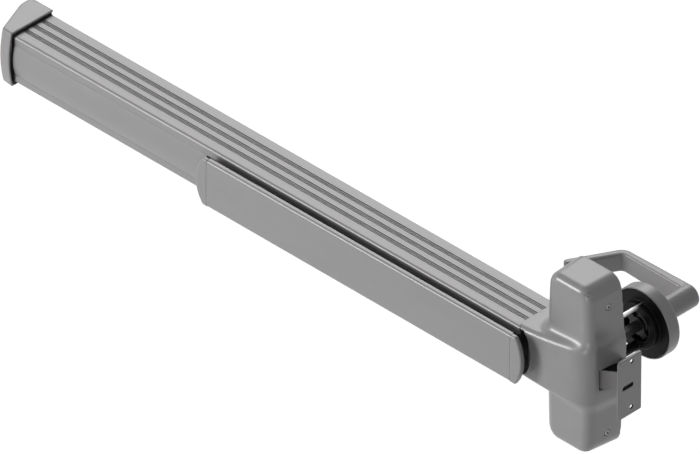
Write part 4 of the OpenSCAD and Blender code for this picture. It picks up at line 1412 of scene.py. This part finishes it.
@dataclass
class Rose:
    """Hollow round cover on the outside face of the door."""

    lever: Lever
    door: float = 61.0
    radius: float = 39.3
    thick: float = 15.4
    wall: float = 1.6
    edge: float = 3.0
    edge_steps: int = 9
    sides: int = 128
    foot: float = 0.4
    inner_foot: float = 0.3
    neck_gap: float = 0.6

    def build(self) -> None:
        """Builds the cover, with a rounded outer rim and a chamfered foot."""
        e, face = self.edge, self.door + self.thick
        neck, inner = self.lever.neck_r + self.neck_gap, self.radius - self.wall
        outer = [(neck, face)]
        outer += [
            (self.radius - e + e * math.sin(a), face - e + e * math.cos(a))
            for a in np.radians(np.linspace(0, 90, self.edge_steps))
        ]
        outer += [(self.radius, self.door + self.foot), (self.radius - self.foot, self.door)]
        outer += [(inner + self.inner_foot, self.door), (inner, self.door + self.inner_foot)]
        outer += [(inner, face - self.wall), (neck, face - self.wall)]
        add_piece(
            "rose_shell", lathe(outer, self.sides), TRIM, Body.DEVICE,
            ["rose_cover"], flat=True,
        )


@dataclass
class RoseBase:
    """Black base under the rose, with a hub and a post that enter the door."""

    rose: Rose
    gap: float = 0.4
    mid_y: float = 63.0
    half_t: float = 1.7
    edge: float = 0.5
    hub_r: float = 25.4
    hub_y: float = 54.0
    hub_edge: float = 0.7
    boss_r: float = 14.0
    boss_end: float = 74.1
    boss_edge: float = 0.6
    floor_y: float = 62.0
    recess_r: float = 17.0
    recess_corner: float = 0.3
    recess_edge: float = 0.4
    post_r: float = 5.2
    post_y0: float = 20.0
    post_y1: float = 57.0
    post_edge: float = 0.6
    post_fillet: float = 1.5
    bolt_z: float = 22.5
    bolt_r: float = 2.44
    bore_r: float = 10.04
    room_low: tuple[float, float, float] = (-38.0, 19.0, -38.0)
    room_high: tuple[float, float, float] = (38.0, 75.0, 38.0)
    cell: float = 0.95

    def field(self, x: np.ndarray, y: np.ndarray, z: np.ndarray) -> np.ndarray:
        """Signed distance of the base with its hub, boss, post and holes.

        Args:
            x: Places along the bar.
            y: Places through the door.
            z: Heights.

        Returns:
            The distances, negative inside.
        """
        r = np.hypot(x, z)
        rim = self.rose.radius - self.rose.wall - self.gap
        disc = rounded(r - rim, np.abs(y - self.mid_y) - self.half_t, self.edge)
        hub = rounded(r - self.hub_r, np.maximum(self.hub_y - y, y - self.mid_y), self.hub_edge)
        tall = np.maximum(self.floor_y - y, y - self.boss_end)
        solid = np.minimum(np.minimum(disc, hub), rounded(r - self.boss_r, tall, self.boss_edge))
        deep = np.maximum(self.post_y0 - y, y - self.post_y1)
        post = rounded(np.hypot(x, z + self.bolt_z) - self.post_r, deep, self.post_edge)
        solid = smin(solid, post, self.post_fillet)
        recess = rounded(r - self.recess_r, y - self.floor_y, self.recess_corner)
        solid = smax(solid, -recess, self.recess_edge)
        for side in (-1, 1):
            solid = np.maximum(solid, self.bolt_r - np.hypot(x, z - side * self.bolt_z))
        return np.maximum(solid, self.bore_r - r)

    def build(self) -> None:
        """Builds the base."""
        solid = skin(self.field, self.room_low, self.room_high, self.cell)
        add_piece("rose_base", solid, BLACK_AND_SHADE, Body.DEVICE, ["rose_plate"])


@dataclass
class Lever:
    """Outside lever: a straight grip with a return, on a round neck and journal.

    The return leans by lean degrees from straight back to the door. The grip tilts by
    grip_tilt and is higher and thicker at its root. The journal has a square hole for
    the driver and a groove for the clip.
    """

    neck_r: float = 12.5
    neck_start: float = 76.8
    neck_end: float = 132.0
    neck_edge: float = 3.0
    neck_drop: float = 0.8
    grip_x: float = -3.0
    grip_y: float = 122.0
    grip_t: float = 8.5
    grip_half_h: float = 10.9
    grip_edge: float = 2.0
    grip_drop: float = 2.0
    grip_tilt: float = 0.025
    root_t: float = 10.5
    root_half_h: float = 12.6
    root_len: float = 80.0
    slim: float = 0.35
    slim_from: float = 80.0
    slim_to: float = 110.0
    corner_x: float = -87.0
    bend_r: float = 10.0
    lean: float = 28.0
    return_len: float = 63.0
    crease: float = 0.6
    journal_r: float = 10.0
    journal_y0: float = 58.0
    journal_y1: float = 80.0
    journal_edge: float = 0.4
    square_half: float = 4.1
    square_end: float = 88.0
    groove_y: float = 60.5
    groove_half: float = 0.7
    groove_r: float = 8.5
    groove_over: float = 1.0
    room_low: tuple[float, float, float] = (-120.0, 57.0, -14.0)
    room_high: tuple[float, float, float] = (17.0, 134.0, 14.0)
    cell: float = 1.15

    def path_distance(self, x: np.ndarray, y: np.ndarray) -> np.ndarray:
        """Distance in plan from the middle line of the grip and its return.

        Args:
            x: Places along the bar.
            y: Places through the door.

        Returns:
            The distances from the line, whose bend is an arc.
        """
        lean = math.radians(self.lean)
        bend = math.radians(90 - self.lean)
        tangent = self.bend_r * math.tan(bend / 2)
        mid_y = self.grip_y + self.grip_t / 2
        start = np.array([self.grip_x, mid_y])
        turn = np.array([self.corner_x + tangent, mid_y])
        along = np.array([-math.sin(lean), -math.cos(lean)])
        corner = np.array([self.corner_x, mid_y])
        leave = corner + along * tangent
        end = corner + along * (self.return_len - self.grip_t / 2)
        best = np.full(np.shape(x), np.inf)
        for a, b in ((start, turn), (leave, end)):
            ab = b - a
            t = np.clip(((x - a[0]) * ab[0] + (y - a[1]) * ab[1]) / (ab @ ab), 0, 1)
            best = np.minimum(best, np.hypot(x - a[0] - t * ab[0], y - a[1] - t * ab[1]))
        cx, cy = turn[0], turn[1] - self.bend_r
        angle = np.arctan2(x - cx, y - cy)
        on_arc = (angle <= 0) & (angle >= -bend)
        ring = np.abs(np.hypot(x - cx, y - cy) - self.bend_r)
        return np.where(on_arc, np.minimum(best, ring), best)

    def grip(self, x: np.ndarray, y: np.ndarray, z: np.ndarray) -> np.ndarray:
        """Signed distance of the grip, thicker at its root and slim at its return.

        Args:
            x: Places along the bar.
            y: Places through the door.
            z: Heights.

        Returns:
            The distances, negative inside.
        """
        slim = self.slim * step_up(-x, self.slim_from, self.slim_to)
        root = np.clip(1 + x / self.root_len, 0, 1)
        outside = y > self.grip_y + self.grip_t / 2
        thick = np.where(outside, self.root_t - self.grip_t, 0) * root
        high = self.grip_half_h + (self.root_half_h - self.grip_half_h) * root
        drop = self.grip_drop + self.grip_tilt * x
        plan = self.path_distance(x, y) - self.grip_t / 2 + slim - thick
        return rounded(plan, np.abs(z + drop) - high + slim, self.grip_edge)

    def field(self, x: np.ndarray, y: np.ndarray, z: np.ndarray) -> np.ndarray:
        """Signed distance of the lever with its neck and its hollow journal.

        Args:
            x: Places along the bar.
            y: Places through the door.
            z: Heights.

        Returns:
            The distances, negative inside.
        """
        r = np.hypot(x, z)
        neck_r = np.hypot(x, z + self.neck_drop) - self.neck_r
        neck_y = np.maximum(self.neck_start - y, y - self.neck_end)
        solid = smin(self.grip(x, y, z), rounded(neck_r, neck_y, self.neck_edge), self.crease)
        journal_y = np.maximum(self.journal_y0 - y, y - self.journal_y1)
        solid = np.minimum(solid, rounded(r - self.journal_r, journal_y, self.journal_edge))
        across = np.maximum(np.abs(x), np.abs(z)) - self.square_half
        square = np.maximum(across, y - self.square_end)
        groove = np.maximum(np.abs(y - self.groove_y) - self.groove_half, self.groove_r - r)
        groove = np.maximum(groove, r - (self.journal_r + self.groove_over))
        return np.maximum(solid, -np.minimum(square, groove))

    def build(self) -> None:
        """Builds the lever as one piece."""
        solid = skin(self.field, self.room_low, self.room_high, self.cell)
        add_piece("lever_handle", solid, TRIM, Body.LEVER, ["lever"])


# Hidden solids and stage


def dress_frame() -> None:
    """Gives every CAD node that still shows a finish by its material slot."""
    slots = {s["node"]: s["material_slot"] for s in frame["record"]["subparts"]}
    for name, node in frame["nodes"].items():
        if node.hide_render:
            continue
        material = SLOT_FINISH[slots[name]].build()
        node.data.materials.clear()
        node.data.materials.append(material)
        log.info("%s keeps its solid", name)


@dataclass(frozen=True)
class Lamp:
    """Square area lamp.

    Args:
        name: Name of the lamp.
        place: Place in metres.
        size: Length of its sides, in metres.
        power: Power in watts.
    """

    name: str
    place: tuple[float, float, float]
    size: float
    power: float

    def build(self, aim: Vector) -> None:
        """Puts the lamp in its place and turns it.

        Args:
            aim: Point in metres that it looks at.
        """
        data = bpy.data.lights.new(self.name, "AREA")
        data.shape = "SQUARE"
        data.size = self.size
        data.energy = self.power
        light = bpy.data.objects.new(self.name, data)
        light.location = self.place
        light.rotation_euler = (light.location - aim).to_track_quat("Z", "Y").to_euler()
        bpy.context.scene.collection.objects.link(light)


LAMPS = (
    Lamp("key", (-2.9, -3.95, 1.3), 1.3, 114.0),
    Lamp("low", (2.2, -3.9, -0.2), 0.5, 16.0),
    Lamp("top", (-2.8, 2.5, 3.0), 2.4, 62.0),
    Lamp("fill", (3.6, -3.4, 0.8), 2.0, 2.0),
)


@dataclass
class Studio:
    """Camera, floor, lamps and world.

    The camera stands far off at the photograph's angle, so that its picture is
    almost free of perspective, as the photograph is. It sees from near to far, given
    as shares of its distance.
    """

    azimuth: float = 44.72
    elevation: float = 35.49
    scale: float = 1.0097
    lens: float = 1050.0
    sensor: float = 36.0
    near: float = 0.2
    far: float = 3.0
    width: int = 700
    aim: tuple[float, float, float] = (-316.4, -27.0, 2.2)
    floor_z: float = -600.0
    floor_reach: float = 40.0
    floor_sides: int = 96
    floor_colour: float = 0.8
    floor_rough: float = 0.9
    floor_glow: float = 0.72
    world_dim: float = 0.08

    def back(self) -> Vector:
        """Direction from the object to the camera."""
        a, e = math.radians(self.azimuth), math.radians(self.elevation)
        return Vector((math.sin(a) * math.cos(e), -math.cos(a) * math.cos(e), math.sin(e)))

    def build(self) -> None:
        """Builds the whole stage."""
        self.build_camera()
        self.build_floor()
        for lamp in LAMPS:
            lamp.build(Vector(self.aim) * MM)
        self.build_world()

    def build_camera(self) -> None:
        """Camera at the photograph's angle."""
        data = bpy.data.cameras.new("camera")
        data.lens = self.lens
        data.sensor_width = self.sensor
        distance = self.lens / self.sensor * self.width / self.scale * MM
        data.clip_start = distance * self.near
        data.clip_end = distance * self.far
        camera = bpy.data.objects.new("camera", data)
        camera.location = Vector(self.aim) * MM + self.back() * distance
        camera.rotation_euler = self.back().to_track_quat("Z", "Y").to_euler()
        bpy.context.scene.collection.objects.link(camera)
        bpy.context.scene.camera = camera

    def build_floor(self) -> None:
        """Round pale floor that shows white and keeps the shadow."""
        n, reach, z = self.floor_sides, self.floor_reach, self.floor_z * MM
        ring = [
            (reach * math.cos(2 * math.pi * k / n), reach * math.sin(2 * math.pi * k / n), z)
            for k in range(n)
        ]
        mesh = bpy.data.meshes.new("floor")
        mesh.from_pydata(ring, [], [tuple(range(n))])
        floor = bpy.data.objects.new("floor", mesh)
        bpy.context.scene.collection.objects.link(floor)
        material = bpy.data.materials.new("pale_floor")
        material.use_nodes = True
        nodes, links = material.node_tree.nodes, material.node_tree.links
        shader = nodes["Principled BSDF"]
        shader.inputs["Base Color"].default_value = (*[self.floor_colour] * 3, 1)
        shader.inputs["Roughness"].default_value = self.floor_rough
        shader.inputs["Specular IOR Level"].default_value = 0.0
        shader.inputs["Emission Color"].default_value = (1, 1, 1, 1)
        seen = seen_by_eye(nodes, links)
        strength = nodes.new("ShaderNodeMath")
        strength.operation = "MULTIPLY"
        strength.inputs[1].default_value = self.floor_glow
        links.new(seen, strength.inputs[0])
        links.new(strength.outputs["Value"], shader.inputs["Emission Strength"])
        mesh.materials.append(material)

    def build_world(self) -> None:
        """Dim world that shows white."""
        world = bpy.data.worlds.new("studio")
        bpy.context.scene.world = world
        world.use_nodes = True
        nodes, links = world.node_tree.nodes, world.node_tree.links
        shade = nodes["Background"]
        shade.inputs["Color"].default_value = (1, 1, 1, 1)
        seen = seen_by_eye(nodes, links)
        strength = nodes.new("ShaderNodeMapRange")
        strength.inputs["To Min"].default_value = self.world_dim
        strength.inputs["To Max"].default_value = 1.0
        links.new(seen, strength.inputs["Value"])
        links.new(strength.outputs["Result"], shade.inputs["Strength"])


def seen_by_eye(
    nodes: bpy.types.Nodes, links: bpy.types.NodeLinks
) -> bpy.types.NodeSocket:
    """Nodes that tell the rays which show a surface from those that only light.

    Args:
        nodes: Nodes of a material or world.
        links: Links of the same tree.

    Returns:
        Socket that is 1 for camera, glossy and transmission rays.
    """
    path = nodes.new("ShaderNodeLightPath")
    first = nodes.new("ShaderNodeMath")
    first.operation = "MAXIMUM"
    links.new(path.outputs["Is Camera Ray"], first.inputs[0])
    links.new(path.outputs["Is Glossy Ray"], first.inputs[1])
    second = nodes.new("ShaderNodeMath")
    second.operation = "MAXIMUM"
    links.new(first.outputs["Value"], second.inputs[0])
    links.new(path.outputs["Is Transmission Ray"], second.inputs[1])
    return second.outputs["Value"]


def main() -> None:
    """Builds the device and the stage."""
    logging.basicConfig(level=logging.INFO, format="%(message)s")
    bpy.context.scene.view_settings.view_transform = "Standard"
    pad, latch, lever = Pad(), Latch(), Lever()
    rail, rose = Rail(pad), Rose(lever)
    case = CentreCase(rail, latch)
    for part in (rail, EndCap(), pad, case, latch, Strike(), rose, RoseBase(rose), lever):
        log.info("building %s", type(part).__name__)
        part.build()
    dress_frame()
    Studio().build()


if __name__ == "__main__":
    main()
